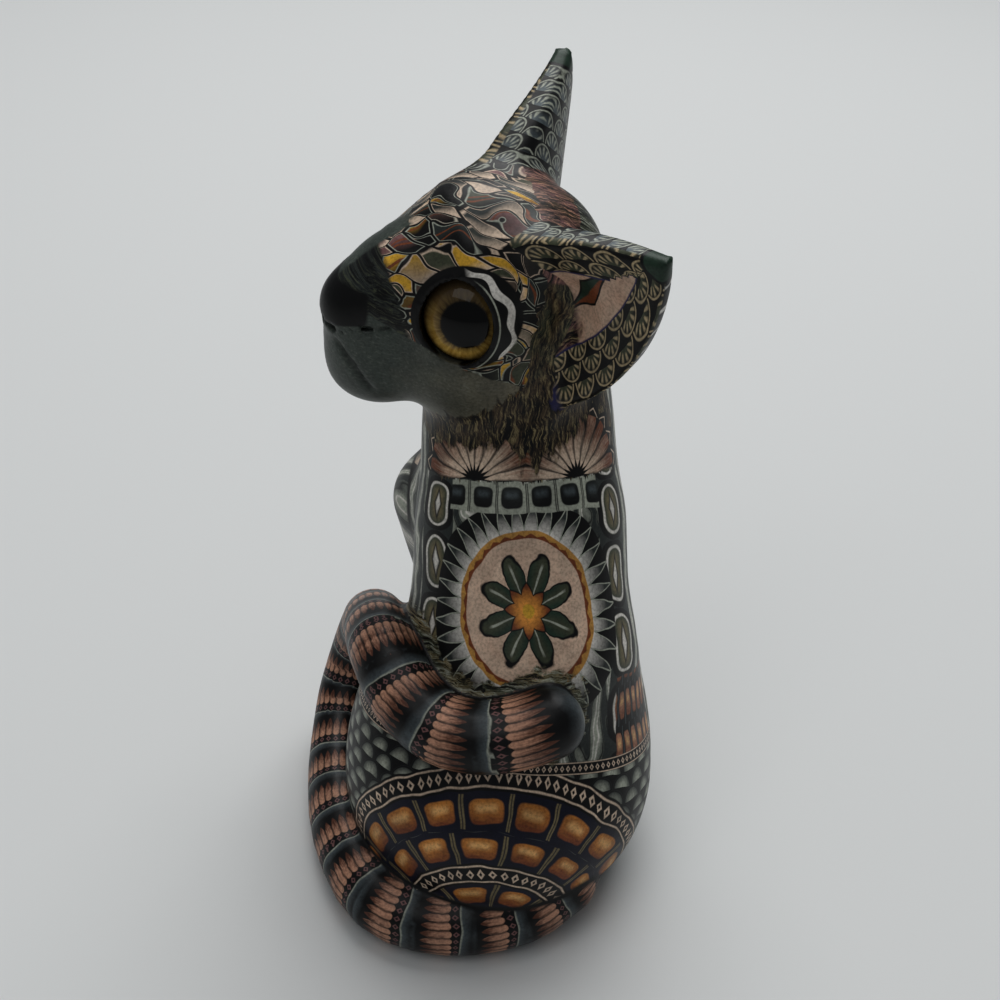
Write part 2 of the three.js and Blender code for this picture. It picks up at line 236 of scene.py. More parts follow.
def tail_rings(along):
    """Number of rings from the root. They widen to nearly twice their length at the tip, whose
    round cap lies in the black that a ring begins with."""
    to_tip = np.maximum(TAIL_STARTS[-1] - along, 0)
    past = np.maximum(along - TAIL_STARTS[-1], 0)
    return RINGS - to_tip / RING_LENGTH - 0.9 * np.exp(-to_tip / 14) + past * 0.055


def tail_place(p):
    """For each point: rings along the tail, and its offset from the middle line, to the side and up."""
    best = np.full(len(p), 1e9)
    place = np.zeros((len(p), 3))
    for a, b, start in zip(TAIL_PATH[:-1], TAIL_PATH[1:], TAIL_STARTS):
        run = b - a
        length = np.linalg.norm(run)
        ahead = run / length
        share = (p - a) @ ahead / length
        off = p - a - np.clip(share, 0, 1)[:, None] * run
        distance = np.linalg.norm(off, axis=1)
        side = np.cross(ahead, [0.2, 0.3, 1.0])
        side /= np.linalg.norm(side)
        over = np.cross(side, ahead)
        closer = distance < best
        best[closer] = distance[closer]
        found = np.stack([tail_rings(start + share * length), off @ side, off @ over], axis=1)
        place[closer] = found[closer]
    return place


# %% [markdown]
# The head has its own frame: forward along the muzzle, then to the cat's left, then up. The
# ears are cupped blades, made from an outline, a thickness and a bent middle sheet. The sockets
# are cut to the glass eyes with a small gap.

# %% Head, ears and sockets
def turn_about(axis, degrees):
    """Rotation matrix about one axis: cosines on the other two, and a sine each way between them."""
    a, b = [(1, 2), (2, 0), (0, 1)]["XYZ".index(axis)]
    matrix = np.eye(3)
    matrix[a, a] = matrix[b, b] = np.cos(np.radians(degrees))
    matrix[b, a] = np.sin(np.radians(degrees))
    matrix[a, b] = -matrix[b, a]
    return matrix


HEAD_CENTRE = np.array([2.0, -6.0, 92.0])
HEAD_AXES = turn_about("Z", 20) @ turn_about("Y", -6) @ turn_about("X", -15)
EYE_RADIUS = 5.9
EYE_GAP = 0.3
EYE_EDGE = 2.2
EYE_DOME = 3.0
EYE_LOOK = np.array([0.43, 0.85, 0.29]) / np.linalg.norm([0.43, 0.85, 0.29])
EYE_BALL = np.array([6.7, 6.5, -3.2])
EYE_BALL_RADIUS = EYE_RADIUS + EYE_GAP + 1.4
EYE_SEAT = np.sqrt(EYE_BALL_RADIUS ** 2 - (EYE_RADIUS + EYE_GAP) ** 2) - 0.6 - EYE_EDGE


def mirrored(point, side):
    return np.array(point, float) * np.array([1, side, 1])


def in_head(p):
    return (p - HEAD_CENTRE) @ HEAD_AXES


EAR_ROOT = (-1.5, 6.6, -2.6)
EAR_ALONG = np.array([-8.2, 16, 20.4]) / np.linalg.norm([-8.2, 16, 20.4])
EAR_FACING = (0.74, 0.6, -0.17)
EAR_LENGTH = 27.4
EAR_HALF_WIDTH = 13


def ear_growth(side):
    """The right ear is a little larger than the left one, as hand-made ears are."""
    return 1 if side > 0 else 1.065


def ear_place(q, side):
    """Height share, width and half width, and depth before the bent middle sheet of one ear."""
    root, along = mirrored(EAR_ROOT, side), mirrored(EAR_ALONG, side)
    facing = mirrored(EAR_FACING, side)
    facing -= along * (facing @ along)
    facing /= np.linalg.norm(facing)
    across = np.cross(along, facing) * side
    r = (q - root) / ear_growth(side)
    height, width = r @ along, r @ across
    share = np.clip(height / EAR_LENGTH, 0, 1)
    front_edge = (1 - share ** 1.4) ** 1.05 * (1 - 0.25 * (1 - share) ** 4)
    outline = np.where(width < 0, front_edge, 1.04 * (1 - share ** 2.8) ** 1.05)
    depth = r @ facing - 0.028 * width * width + 2.5 * (1 - share)
    return height, share, width, EAR_HALF_WIDTH * outline, depth


def ear(q, side):
    """Rounded blade: how far outside its faces and its edge a point is, joined by a round."""
    height, share, width, half_width, depth = ear_place(q, side)
    edge_radius = 1.25
    over_face = np.abs(depth) - (7.4 + (2.6 - 7.4) * share) / 2 + edge_radius
    over_side = (np.abs(width) - half_width) * 0.85 + edge_radius
    over_edge = np.maximum(over_side, height - EAR_LENGTH + edge_radius)
    outside = np.hypot(np.maximum(over_face, 0), np.maximum(over_edge, 0))
    blade = 0.9 * (outside + np.minimum(np.maximum(over_face, over_edge), 0) - edge_radius)
    in_cup = np.stack([height - 6.5, width - 0.5, depth - 4.6], axis=-1)
    blade = carve(blade, -egg(in_cup, (0, 0, 0), (7.5, 6, 3.6)), 1.5)
    return carve(blade, -(height + 3), 2) * ear_growth(side)


def eye_axes(side):
    """Where the glass is seated, and three axes: out along its look, to its rear, and up over it."""
    look = mirrored(EYE_LOOK, side)
    over = np.array([0, 0, 1]) - look * look[2]
    over /= np.linalg.norm(over)
    rear = np.cross(look, over) * -side
    return mirrored(EYE_BALL, side) + look * EYE_SEAT, look, rear, over


def eye_place(q, side):
    seat, look, rear, over = eye_axes(side)
    r = q - seat
    return r @ look, r @ rear, r @ over


def skull(q):
    nose = rolls(q, [(5.5, 0, -0.5), (14, 0, -5.2), (19.5, 0, -7.2)], [11, 7.9, 5.5], 4)
    d = press(egg(q, (-0.5, 0, -1), (13, 12.5, 12.3)), nose, 5)
    d = press(d, egg(q, (13.6, 0, -14), (10.5, 8.4, 8.4)), 4)
    d = press(d, egg(q, (16.5, 0, -18.5), (6, 5.5, 4.5)), 3)
    d = press(d, egg(q, (21.8, 0, -7.6), (3.2, 4, 3.4)), 2)
    for side in (1, -1):
        d = press(d, egg(q, (3, side * 7.5, -11.5), (10.5, 7.2, 9.5)), 5)
        d = press(d, np.linalg.norm(q - mirrored(EYE_BALL, side), axis=-1) - EYE_BALL_RADIUS, 3)
    return d


GLASS_GAP = 0.12
SKIN_INSET = 0.08
DOME_RADIUS = (EYE_RADIUS ** 2 + EYE_DOME ** 2) / (2 * EYE_DOME)
LID_OPENING = 6.2
LID_SHIFT = [2.3, 0.7]


def socket(q, side):
    out, rear, over = eye_place(q, side)
    across = np.hypot(rear, over) - EYE_RADIUS - GLASS_GAP
    return np.maximum(np.maximum(across, -out - GLASS_GAP), out - 9.5)


def lid(q, side):
    """Shell that follows the glass at a small gap, cut away in a round opening set to the front."""
    out, rear, over = eye_place(q, side)
    dome_middle = EYE_EDGE + EYE_DOME - DOME_RADIUS
    off_glass = np.sqrt((out - dome_middle) ** 2 + rear ** 2 + over ** 2) - DOME_RADIUS
    shell = np.abs(off_glass - 0.85) - 0.62
    opening = np.hypot(rear + LID_SHIFT[0], over + LID_SHIFT[1]) - LID_OPENING
    rim = np.hypot(rear, over) - EYE_RADIUS - 1.4
    return carve(carve(shell, -opening, 0.6), rim, 0.8)


MOUTH = [(17.6, 7.4, -5.6), (20.6, 5.4, -7.2), (23.8, 2.8, -9), (24.9, 0, -9.6)]
WHISKER_CREASE = [(23.4, 3.4, -11), (21.4, 5.6, -13.6), (18.4, 6.8, -17)]


def creases(q):
    """Thin rolls that are cut out of the face: the mouth and a crease down each side of the chin."""
    cuts = []
    for side in (1, -1):
        cuts.append(rolls(q, [mirrored(point, side) for point in MOUTH], [0.2, 0.35, 0.45, 0.45], 0.5))
        cuts.append(rolls(q, [mirrored(point, side) for point in WHISKER_CREASE], [0.2, 0.4, 0.2], 0.5))
    return press_all(cuts, 0.3)


def head(q):
    d = skull(q)
    for side in (1, -1):
        d = press(d, ear(q, side), 3)
    return d


# %% The whole cat
CAD_LOW = np.array(cad_low) / MM
CAD_HIGH = np.array(cad_high) / MM


def cat_parts(p):
    q = in_head(p)
    return {"trunk": trunk(p), "legs": legs(p), "tail": tail(p), "skull": skull(q),
            "left_ear": ear(q, 1), "right_ear": ear(q, -1)}


def cat(p):
    """All clay pressed together, with the clefts, the sockets and the flat underside cut."""
    q = in_head(p)
    d = press(trunk(p), legs(p), 7)
    for side in (1, -1):
        d = d + toes(p, side * 7.5, -34, 2.5) + toes(p, side * 16, -19, 2.6)
    d = press(d, tail(p), 1.6)
    d = press(d, head(q), 4) + SKIN_INSET
    for side in (1, -1):
        d = press(carve(d, -socket(q, side), 0.3), lid(q, side), 0.5)
    d = carve(d, -creases(q), 0.6)
    d = carve(d, 0.05 - p[..., 2], 0.6)
    off_box = np.abs(p - (CAD_LOW + CAD_HIGH) / 2) - (CAD_HIGH - CAD_LOW) / 2 + 0.06
    return carve(d, off_box.max(-1), 0.6)


# %% [markdown]
# A field isn't a mesh yet. Surface nets turn it into one: a lattice is laid over it, each cell
# that the surface crosses gets one point, and each lattice edge that crosses the surface joins
# four of them in a quadrilateral. All of it is whole-array work. The field is costly, so it is
# worked out on a coarse lattice first and on the fine one only near the skin.

# %% Surface nets
def refine(values, steps):
    """Linear interpolation along each axis in turn, with that many steps for each old one."""
    for axis in range(3):
        count = values.shape[axis]
        where = np.arange((count - 1) * steps + 1) / steps
        low = np.minimum(where.astype(int), count - 2)
        share = (where - low).reshape([-1 if n == axis else 1 for n in range(3)])
        values = np.take(values, low, axis) * (1 - share) + np.take(values, low + 1, axis) * share
    return values


def lattice_values(field, low, cell, counts, steps=4):
    coarse_axes = [low[n] + np.arange(counts[n] // steps + 1) * cell * steps for n in range(3)]
    coarse = field(np.stack(np.meshgrid(*coarse_axes, indexing="ij"), axis=-1))
    values = refine(coarse, steps)
    near = np.argwhere(np.abs(values) < cell * steps * 1.1)
    values[tuple(near.T)] = field(low + near * cell)
    return values


def surface_nets(values, low, cell):
    inside = values < 0
    offsets = np.array([(n & 1, n >> 1 & 1, n >> 2 & 1) for n in range(8)])
    spans = [tuple(slice(o, s - 1 + o) for o, s in zip(off, values.shape)) for off in offsets]
    count = sum(inside[span].astype(np.int8) for span in spans)
    cells = np.argwhere((count > 0) & (count < 8))
    ids = np.full(count.shape, -1)
    ids[tuple(cells.T)] = np.arange(len(cells))
    corner = [values[tuple((cells + off).T)] for off in offsets]
    total, crossings = np.zeros((len(cells), 3)), np.zeros(len(cells))
    for a in range(8):
        for axis in range(3):
            b = a | 1 << axis
            if a == b:
                continue
            crossed = (corner[a] < 0) != (corner[b] < 0)
            share = np.where(crossed, corner[a] / np.where(crossed, corner[a] - corner[b], 1), 0)
            point = offsets[a] + share[:, None] * (offsets[b] - offsets[a])
            total += point * crossed[:, None]
            crossings += crossed
    points = low + (cells + total / crossings[:, None]) * cell
    quads = []
    for axis in range(3):
        u, w = (axis + 1) % 3, (axis + 2) % 3
        first = np.take(inside, np.arange(values.shape[axis] - 1), axis)
        second = np.take(inside, np.arange(1, values.shape[axis]), axis)
        edges = np.argwhere(first != second)
        ring = []
        for du, dw in ((0, 0), (1, 0), (1, 1), (0, 1)):
            cell_of = edges.copy()
            cell_of[:, u] -= du
            cell_of[:, w] -= dw
            ring.append(ids[tuple(cell_of.T)])
        ring = np.stack(ring, axis=1)
        outward = first[tuple(edges.T)]
        quads.append(np.where(outward[:, None], ring, ring[:, ::-1]))
    return points, np.vstack(quads)


def settle(field, points, reach, turns=2):
    """Newton's step onto the surface along the field's slope, never farther than the reach."""
    tiny = 0.05
    for _ in range(turns):
        d = field(points)
        slope = np.stack([field(points + tiny * axis) - d for axis in np.eye(3)], axis=1) / tiny
        step = -d[:, None] * slope / np.maximum((slope ** 2).sum(1), 0.2)[:, None]
        length = np.linalg.norm(step, axis=1)
        points = points + step * np.minimum(1, reach / np.maximum(length, 1e-9))[:, None]
    return points


skin_cell = 0.6
skin_low = np.array([-27.0, -45.0, -3.0])
skin_high = np.array([36.0, 44.0, 118.0])
skin_counts = (np.ceil((skin_high - skin_low) / skin_cell / 4) * 4).astype(int)
skin_values = lattice_values(cat, skin_low, skin_cell, skin_counts)
skin_points, skin_quads = surface_nets(skin_values, skin_low, skin_cell)
skin_points = settle(cat, skin_points, skin_cell * 0.5)
print("skin", len(skin_points), "points", len(skin_quads), "quads")


# %% Mesh from arrays
def make_mesh(name, points_mm, quads):
    mesh = bpy.data.meshes.new(name)
    mesh.vertices.add(len(points_mm))
    mesh.vertices.foreach_set("co", (points_mm * MM).astype(np.float32).ravel())
    mesh.loops.add(quads.size)
    mesh.loops.foreach_set("vertex_index", quads.astype(np.int32).ravel())
    mesh.polygons.add(len(quads))
    mesh.polygons.foreach_set("loop_start", np.arange(0, quads.size, 4, dtype=np.int32))
    mesh.polygons.foreach_set("use_smooth", np.ones(len(quads), dtype=bool))
    mesh.update(calc_edges=True)
    return mesh


def give(mesh, name, values):
    """Stores one number or one vector for each point, for the shader to read by name."""
    kind, key = ("FLOAT", "value") if values.ndim == 1 else ("FLOAT_VECTOR", "vector")
    mesh.attributes.new(name, kind, "POINT").data.foreach_set(key, values.astype(np.float32).ravel())


def make_piece(name, mesh, material, slot, *nodes):
    piece = bpy.data.objects.new(name, mesh)
    bpy.context.scene.collection.objects.link(piece)
    mesh.materials.append(material)
    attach(piece, "root")
    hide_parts(*nodes)
    return piece


# %% [markdown]
# The slices follow the form, so the shader needs to know where each point is on the cat: how far
# up the back and which way round it, how far along the tail, where on the ear, and where beside
# the eye. These places are worked out once for every point and stored as named attributes.

# %% Places on the cat
def trunk_place(p):
    """Millimetres up the trunk's middle line, and the offset from it backward and to the right.

    A plane stands across the line at each of its points. Between two planes the share of the way
    is d / (d - e), where d and e are the distances to them, so it has no jump at a bend.
    """
    steps = np.diff(TRUNK_LINE, axis=0)
    lengths = np.linalg.norm(steps, axis=1)
    ahead = steps / lengths[:, None]
    ups = np.vstack([ahead[:1], ahead[:-1] + ahead[1:], ahead[-1:]])
    ups /= np.linalg.norm(ups, axis=1)[:, None]
    starts = np.concatenate([[0], np.cumsum(lengths)])
    past = np.stack([(p - point) @ up for point, up in zip(TRUNK_LINE, ups)], axis=1)
    n = np.clip((past[:, :-1] > 0).sum(1) - 1, 0, len(steps) - 1)
    rows = np.arange(len(p))
    d, e = past[rows, n], past[rows, n + 1]
    share = d / np.maximum(d - e, 1e-6)
    share = np.where(d < 0, d / lengths[n], np.where(e > 0, 1 + e / lengths[n], share))
    middle = TRUNK_LINE[n] + share[:, None] * steps[n]
    blend = np.clip(share, 0, 1)[:, None]
    up = ups[n] * (1 - blend) + ups[n + 1] * blend
    up /= np.linalg.norm(up, axis=1)[:, None]
    back = np.array([0, 1, 0]) - up * up[:, 1:2]
    back /= np.linalg.norm(back, axis=1)[:, None]
    off = p - middle
    right = np.cross(up, back)
    return np.stack([starts[n] + share * lengths[n], (off * back).sum(1), (off * right).sum(1)], axis=1)


def near_side(q):
    return np.where(q[:, 1] >= 0, 1, -1)


def ear_attribute(q):
    """Height up the ear, width, depth and distance in from its edge, for the ear on that side."""
    rows = []
    for side in (1, -1):
        height, share, width, half_width, depth = ear_place(q, side)
        inset = np.minimum(half_width - np.abs(width), EAR_LENGTH - height)
        rows.append(np.stack([share * EAR_LENGTH, width, depth, inset], axis=1))
    return np.where((near_side(q) > 0)[:, None], *rows)


def eye_attribute(q):
    rows = [np.stack(eye_place(q, side), axis=1) for side in (1, -1)]
    return np.where((near_side(q) > 0)[:, None], *rows)


skin_mesh = make_mesh("clay_skin", skin_points, skin_quads)
parts = cat_parts(skin_points)
head_points = in_head(skin_points)
ears = np.minimum(parts["left_ear"], parts["right_ear"])
others = np.minimum(parts["trunk"], parts["legs"])
ear_rows = ear_attribute(head_points)
along_trunk, back_of_trunk, right_of_trunk = trunk_place(skin_points).T
on_tail = np.minimum(others, parts["skull"]) - parts["tail"]
on_head = others - np.minimum(parts["skull"], ears)
on_leg = np.minimum(parts["trunk"], hindlegs(skin_points)) - limbs(skin_points)
give(skin_mesh, "trunk_at", np.stack([along_trunk, back_of_trunk, right_of_trunk], axis=1))
give(skin_mesh, "tail_at", tail_place(skin_points))
give(skin_mesh, "head_at", head_points)
give(skin_mesh, "ear_at", ear_rows[:, :3])
give(skin_mesh, "ear_inset", ear_rows[:, 3])
give(skin_mesh, "eye_at", eye_attribute(head_points))
give(skin_mesh, "on_tail", on_tail)
give(skin_mesh, "on_head", on_head)
give(skin_mesh, "on_ear", parts["skull"] - ears)
give(skin_mesh, "on_leg", on_leg)
# Painted shade: how much black is laid into the mouth and chin creases, deepest in their middle.
give(skin_mesh, "face_crease_shade", np.clip((0.25 - creases(head_points)) / 0.5, 0, 1) * 0.8)
print("attributes", [a.name for a in skin_mesh.attributes][:14])

# %% [markdown]
# A pattern is arithmetic on those places. Writing each Math node by hand would bury the idea, so
# a small class stands for a value on its way through a node tree, and + - * / on it add nodes.

# %% Arithmetic with nodes
class Wire:
    """A socket's value in a node tree. Operators on it add Math nodes and give new wires."""

    def __init__(self, tree, socket):
        self.tree = tree
        self.socket = socket

    def math(self, operation, *others):
        node = self.tree.nodes.new("ShaderNodeMath")
        node.operation = operation
        for slot, value in zip(node.inputs, (self, *others)):
            plug(value, slot)
        return Wire(self.tree, node.outputs[0])

    def __add__(self, other):
        return self.math("ADD", other)

    def __sub__(self, other):
        return self.math("SUBTRACT", other)

    def __mul__(self, other):
        return self.math("MULTIPLY", other)

    def __truediv__(self, other):
        return self.math("DIVIDE", other)

    def flipped(self):
        """One minus the value, which turns a mask round."""
        node = self.tree.nodes.new("ShaderNodeMath")
        node.operation = "SUBTRACT"
        node.inputs[0].default_value = 1
        plug(self, node.inputs[1])
        return Wire(self.tree, node.outputs[0])

    def rise(self, edge, soft=0.06):
        """Mask that goes from 0 to 1 as the value passes the edge."""
        if isinstance(edge, Wire):
            return (self - edge).rise(0, soft)
        node = self.tree.nodes.new("ShaderNodeMapRange")
        plug(self, node.inputs["Value"])
        node.inputs["From Min"].default_value = edge - soft
        node.inputs["From Max"].default_value = edge + soft
        return Wire(self.tree, node.outputs[0])

    def fall(self, edge, soft=0.06):
        return self.rise(edge, soft).flipped()

    def between(self, low, high, soft=0.06):
        return self.rise(low, soft) * self.fall(high, soft)

    def abs(self):
        return self.math("ABSOLUTE")

    def fract(self):
        return self.math("FRACT")

    def floor(self):
        return self.math("FLOOR")

    def fold(self, period):
        """Triangle wave: 0 in the middle of each period and 1 at its ends."""
        return (((self / period).fract() - 0.5) * 2).abs()

    def parts(self):
        node = self.tree.nodes.new("ShaderNodeSeparateXYZ")
        plug(self, node.inputs[0])
        return [Wire(self.tree, out) for out in node.outputs]


def plug(value, slot):
    if isinstance(value, Wire):
        value.tree.links.new(value.socket, slot)
    elif isinstance(value, tuple) and slot.type == "RGBA":
        slot.default_value = (*value, 1)
    else:
        slot.default_value = value


def hypot(a, b):
    return (a * a + b * b).math("SQRT")


def vector(x, y, z=0.0):
    tree = next(w.tree for w in (x, y, z) if isinstance(w, Wire))
    node = tree.nodes.new("ShaderNodeCombineXYZ")
    for value, slot in zip((x, y, z), node.inputs):
        plug(value, slot)
    return Wire(tree, node.outputs[0])


def mix(mask, under, over):
    """Lays one colour over another where the mask is 1."""
    node = mask.tree.nodes.new("ShaderNodeMix")
    node.data_type = "RGBA"
    plug(mask, node.inputs[0])
    plug(under, node.inputs[6])
    plug(over, node.inputs[7])
    return Wire(mask.tree, node.outputs[2])


def noise(at, scale, detail=2.0, roughness=0.55):
    node = at.tree.nodes.new("ShaderNodeTexNoise")
    plug(at, node.inputs["Vector"])
    node.inputs["Scale"].default_value = scale
    node.inputs["Detail"].default_value = detail
    node.inputs["Roughness"].default_value = roughness
    return Wire(at.tree, node.outputs["Fac"])


def dice(at):
    """A fixed random number from 0 to 1 for each vector."""
    node = at.tree.nodes.new("ShaderNodeTexWhiteNoise")
    node.noise_dimensions = "2D"
    plug(at, node.inputs["Vector"])
    return Wire(at.tree, node.outputs["Value"])


def wobble(tree, amount):
    """Small wandering offset, so that no line is truer than a hand would lay it."""
    texture = tree.nodes.new("ShaderNodeTexCoord")
    node = tree.nodes.new("ShaderNodeTexNoise")
    tree.links.new(texture.outputs["Object"], node.inputs["Vector"])
    node.inputs["Scale"].default_value = 240.0
    node.inputs["Detail"].default_value = 1.0
    return [(part - 0.5) * amount for part in Wire(tree, node.outputs["Color"]).parts()]


def read(tree, name, output="Vector"):
    node = tree.nodes.new("ShaderNodeAttribute")
    node.attribute_name = name
    return Wire(tree, node.outputs[output])


# %% Clay colours
def clay_colour(red, green, blue):
    """Linear colour from display values between 0 and 255."""
    display = np.array([red, green, blue]) / 255
    linear = np.where(display > 0.04045, ((display + 0.055) / 1.055) ** 2.4, display / 12.92)
    return tuple(float(n) for n in linear)


SOOT = clay_colour(8, 8, 9)
SLATE = clay_colour(54, 60, 58)
STEEL = clay_colour(98, 108, 112)
MOSS = clay_colour(80, 84, 66)
BARK = clay_colour(88, 72, 54)
SAGE = clay_colour(180, 184, 170)
KHAKI = clay_colour(152, 138, 102)
CREAM = clay_colour(228, 206, 184)
BLUSH = clay_colour(204, 158, 132)
OCHRE = clay_colour(226, 180, 66)
AMBER = clay_colour(244, 172, 82)
RUST = clay_colour(136, 76, 44)
NAVY = clay_colour(22, 24, 44)
MAUVE = clay_colour(130, 94, 92)
WHITE = clay_colour(236, 232, 224)
TEAL = clay_colour(46, 68, 54)
print("soot", [round(n, 4) for n in SOOT])

# %% [markdown]
# Each cane is a node group, because the same cane is sliced many times on one cat. Across and
# Along are millimetres on the skin. Pleats are fluted petals, scales are overlapping scallops,
# tiles are pillows of translucent clay, ovals are long eyes, and checks are a pale braid.

# %% Canes
def cane(name, inputs, build):
    """Makes a node group from a function of its input wires that returns a colour."""
    tree = bpy.data.node_groups.new(name, "ShaderNodeTree")
    for label, value in inputs.items():
        kind = "NodeSocketColor" if isinstance(value, tuple) else "NodeSocketFloat"
        made = tree.interface.new_socket(label, in_out="INPUT", socket_type=kind)
        made.default_value = (*value, 1) if isinstance(value, tuple) else value
    tree.interface.new_socket("Color", in_out="OUTPUT", socket_type="NodeSocketColor")
    source = tree.nodes.new("NodeGroupInput")
    sink = tree.nodes.new("NodeGroupOutput")
    wires = {label: Wire(tree, source.outputs[label]) for label in inputs}
    plug(build(wires), sink.inputs["Color"])
    return tree


def slice_of(group, across, along, **values):
    """Lays a slice of a cane: places its group in the tree of the wires that it is given."""
    node = across.tree.nodes.new("ShaderNodeGroup")
    node.node_tree = group
    plug(across, node.inputs["Across"])
    plug(along, node.inputs["Along"])
    for label, value in values.items():
        plug(value, node.inputs[label])
    return Wire(across.tree, node.outputs["Color"])


def pleats(w):
    """Fluted petals, pointed at both ends: a light root that darkens to a streaked tip."""
    column = w["Across"] / w["Width"]
    side = w["Across"].fold(w["Width"])
    tint = dice(vector(column.floor(), 3.0))
    point = side.math("POWER", 1.4)
    share = w["Along"] / w["Length"]
    wisps = noise(vector(w["Across"] * 4.0, share * 3.0), 1.0)
    dark = (share + (tint - 0.5) * 0.3 + (wisps - 0.5) * 0.9).rise(0.52, 0.3)
    body = mix(dark, w["Root"], w["Tip"])
    body = mix((side + (wisps - 0.5) * 0.5).rise(0.76, 0.22) * 0.85, body, w["Line"])
    inside = share.rise(point * 0.12, 0.02) * share.fall(point * -0.4 + 1, 0.03)
    return mix(inside, w["Line"], body)


def scales(w):
    """Overlapping scallops in brick order: a pale heart, ribs and an outline on each."""
    size = w["Size"]
    row = (w["Along"] / size * 2).floor()
    up = w["Along"] - row * size / 2
    odd = (row * 0.5).fract()
    here = ((w["Across"] / size + odd).fract() - 0.5) * size
    there = ((w["Across"] / size + odd + 0.5).fract() - 0.5) * size
    front = hypot(here, up) / (size * 0.5)
    rear = hypot(there, up + size / 2) / (size * 0.5)
    in_front = front.fall(1, 0.04)
    reach = front * in_front + rear * in_front.flipped() * 0.9
    angle = (here * in_front + there * in_front.flipped()).math("ARCTAN2", up + size * 0.12)
    ribs = (angle * 2.1).fold(1).rise(0.55, 0.2)
    body = mix(reach.fall(0.55, 0.3), w["Rim"], w["Heart"])
    body = mix(ribs * reach.between(0.3, 0.74, 0.08) * w["Ribs"], body, w["Line"])
    body = mix(reach.between(0.82, 0.93, 0.03), body, w["Line"])
    return mix(reach.rise(0.95, 0.03), body, SOOT)


def tiles(w):
    """Pillow tiles in rows: a cushion with a light band on it, between thin lines."""
    row = w["Along"] / w["Length"]
    across = w["Across"] / w["Width"] + (row.floor() * w["Shift"])
    x = across.fold(1)
    y = row.fold(1)
    pillow = (x.math("POWER", 4.0) + y.math("POWER", 4.0)).math("POWER", 0.25)
    tint = dice(vector(across.floor(), row.floor()))
    glow = noise(vector(w["Across"] * 0.5, w["Along"] * 1.6), 1.0)
    share = row.fract().flipped() + (glow - 0.5) * 0.6 + (tint - 0.5) * 0.2
    body = mix(share.rise(0.5, 0.35), w["Light"], w["Dark"])
    body = mix(pillow.rise(0.4, 0.35) * 0.55, body, w["Dark"])
    body = mix(row.fract().between(0.5, 0.7, 0.08) * x.fall(0.42, 0.12) * 0.6, body, w["Glint"])
    body = mix(pillow.rise(0.7, 0.04), body, w["Ground"])
    return mix(x.between(0.9, 0.98, 0.02) * 0.8, body, w["Outline"])


def ovals(w):
    """Long eyes in a column: a dark rim, a pale ring, an olive core and a pale spindle in it."""
    y = ((w["Along"] / w["Length"]).fract() - 0.5) * 2
    x = w["Across"] / (w["Width"] * 0.5)
    reach = hypot(x, y * y.abs())
    flame = (x.abs() * 1.6 + y.abs() * 0.7) * 0.6
    body = mix(reach.rise(0.3, 0.2), w["Core"], MOSS)
    body = mix(flame.between(0.14, 0.26, 0.05) * reach.fall(0.5, 0.05), body, SOOT)
    body = mix(flame.fall(0.16, 0.05) * reach.fall(0.52, 0.05), body, w["Pale"])
    body = mix(reach.between(0.56, 0.7, 0.03), body, w["Pale"])
    body = mix(reach.rise(0.72, 0.03), body, SOOT)
    return mix(reach.rise(1.0, 0.03), body, w["Ground"])


def checks(w):
    """Braid: pale lozenges with dark hearts between two lines."""
    x = w["Across"].fold(w["Size"])
    y = (w["Along"] / w["Size"]).abs()
    reach = x + y * 1.3
    lozenge = reach.between(0.3, 0.72, 0.08)
    lines = y.between(0.78, 0.96, 0.05)
    return mix((lozenge + lines).math("MINIMUM", 1.0), w["Ground"], w["Light"])


PLEATS = cane("pleats", {"Across": 0.0, "Along": 0.0, "Width": 1.6, "Length": 3.6,
                         "Root": BLUSH, "Tip": RUST, "Line": SOOT}, pleats)
SCALES = cane("scales", {"Across": 0.0, "Along": 0.0, "Size": 3.0, "Ribs": 1.0,
                         "Heart": SAGE, "Rim": SLATE, "Line": SOOT}, scales)
TILES = cane("tiles", {"Across": 0.0, "Along": 0.0, "Width": 3.6, "Length": 5.4, "Shift": 0.0,
                       "Dark": RUST, "Light": AMBER, "Glint": (1.0, 0.66, 0.3), "Outline": KHAKI,
                       "Ground": NAVY}, tiles)
OVALS = cane("ovals", {"Across": 0.0, "Along": 0.0, "Width": 5.0, "Length": 9.0,
                       "Core": KHAKI, "Pale": WHITE, "Ground": SLATE}, ovals)
CHECKS = cane("checks", {"Across": 0.0, "Along": 0.0, "Size": 1.6,
                         "Ground": SOOT, "Light": SAGE}, checks)
print("canes", [g.name for g in bpy.data.node_groups])


# %% [markdown]
# Three finishes have no repeat. Smeared clay, where slices were dragged together like fur, is
# noise stretched along the drag. Waves are stripes that wander. Shards, on the brow, are slices
# broken into long pieces with a pale outline, which a Voronoi pattern gives.

# %% Smears, waves and shards
def smears(w):
    """Hair-fine streaks: noise that changes fast across the drag and slowly along it."""
    bent = noise(vector(w["Across"] * 0.3, w["Along"] * 0.3), 1.0) * 5
    at = vector(w["Across"] * 2.6 + bent, w["Along"] * 0.34 + bent * 0.4)
    fine = noise(at, 1.0, 4.0, 0.75)
    broad = noise(vector(w["Across"] * 0.5, w["Along"] * 0.2 + 7), 1.0)
    body = mix(broad.rise(0.5, 0.12), w["Dark"], w["Middle"])
    body = mix(fine.rise(0.57, 0.05), body, w["Light"])
    return mix(fine.fall(0.46, 0.04), body, w["Line"])


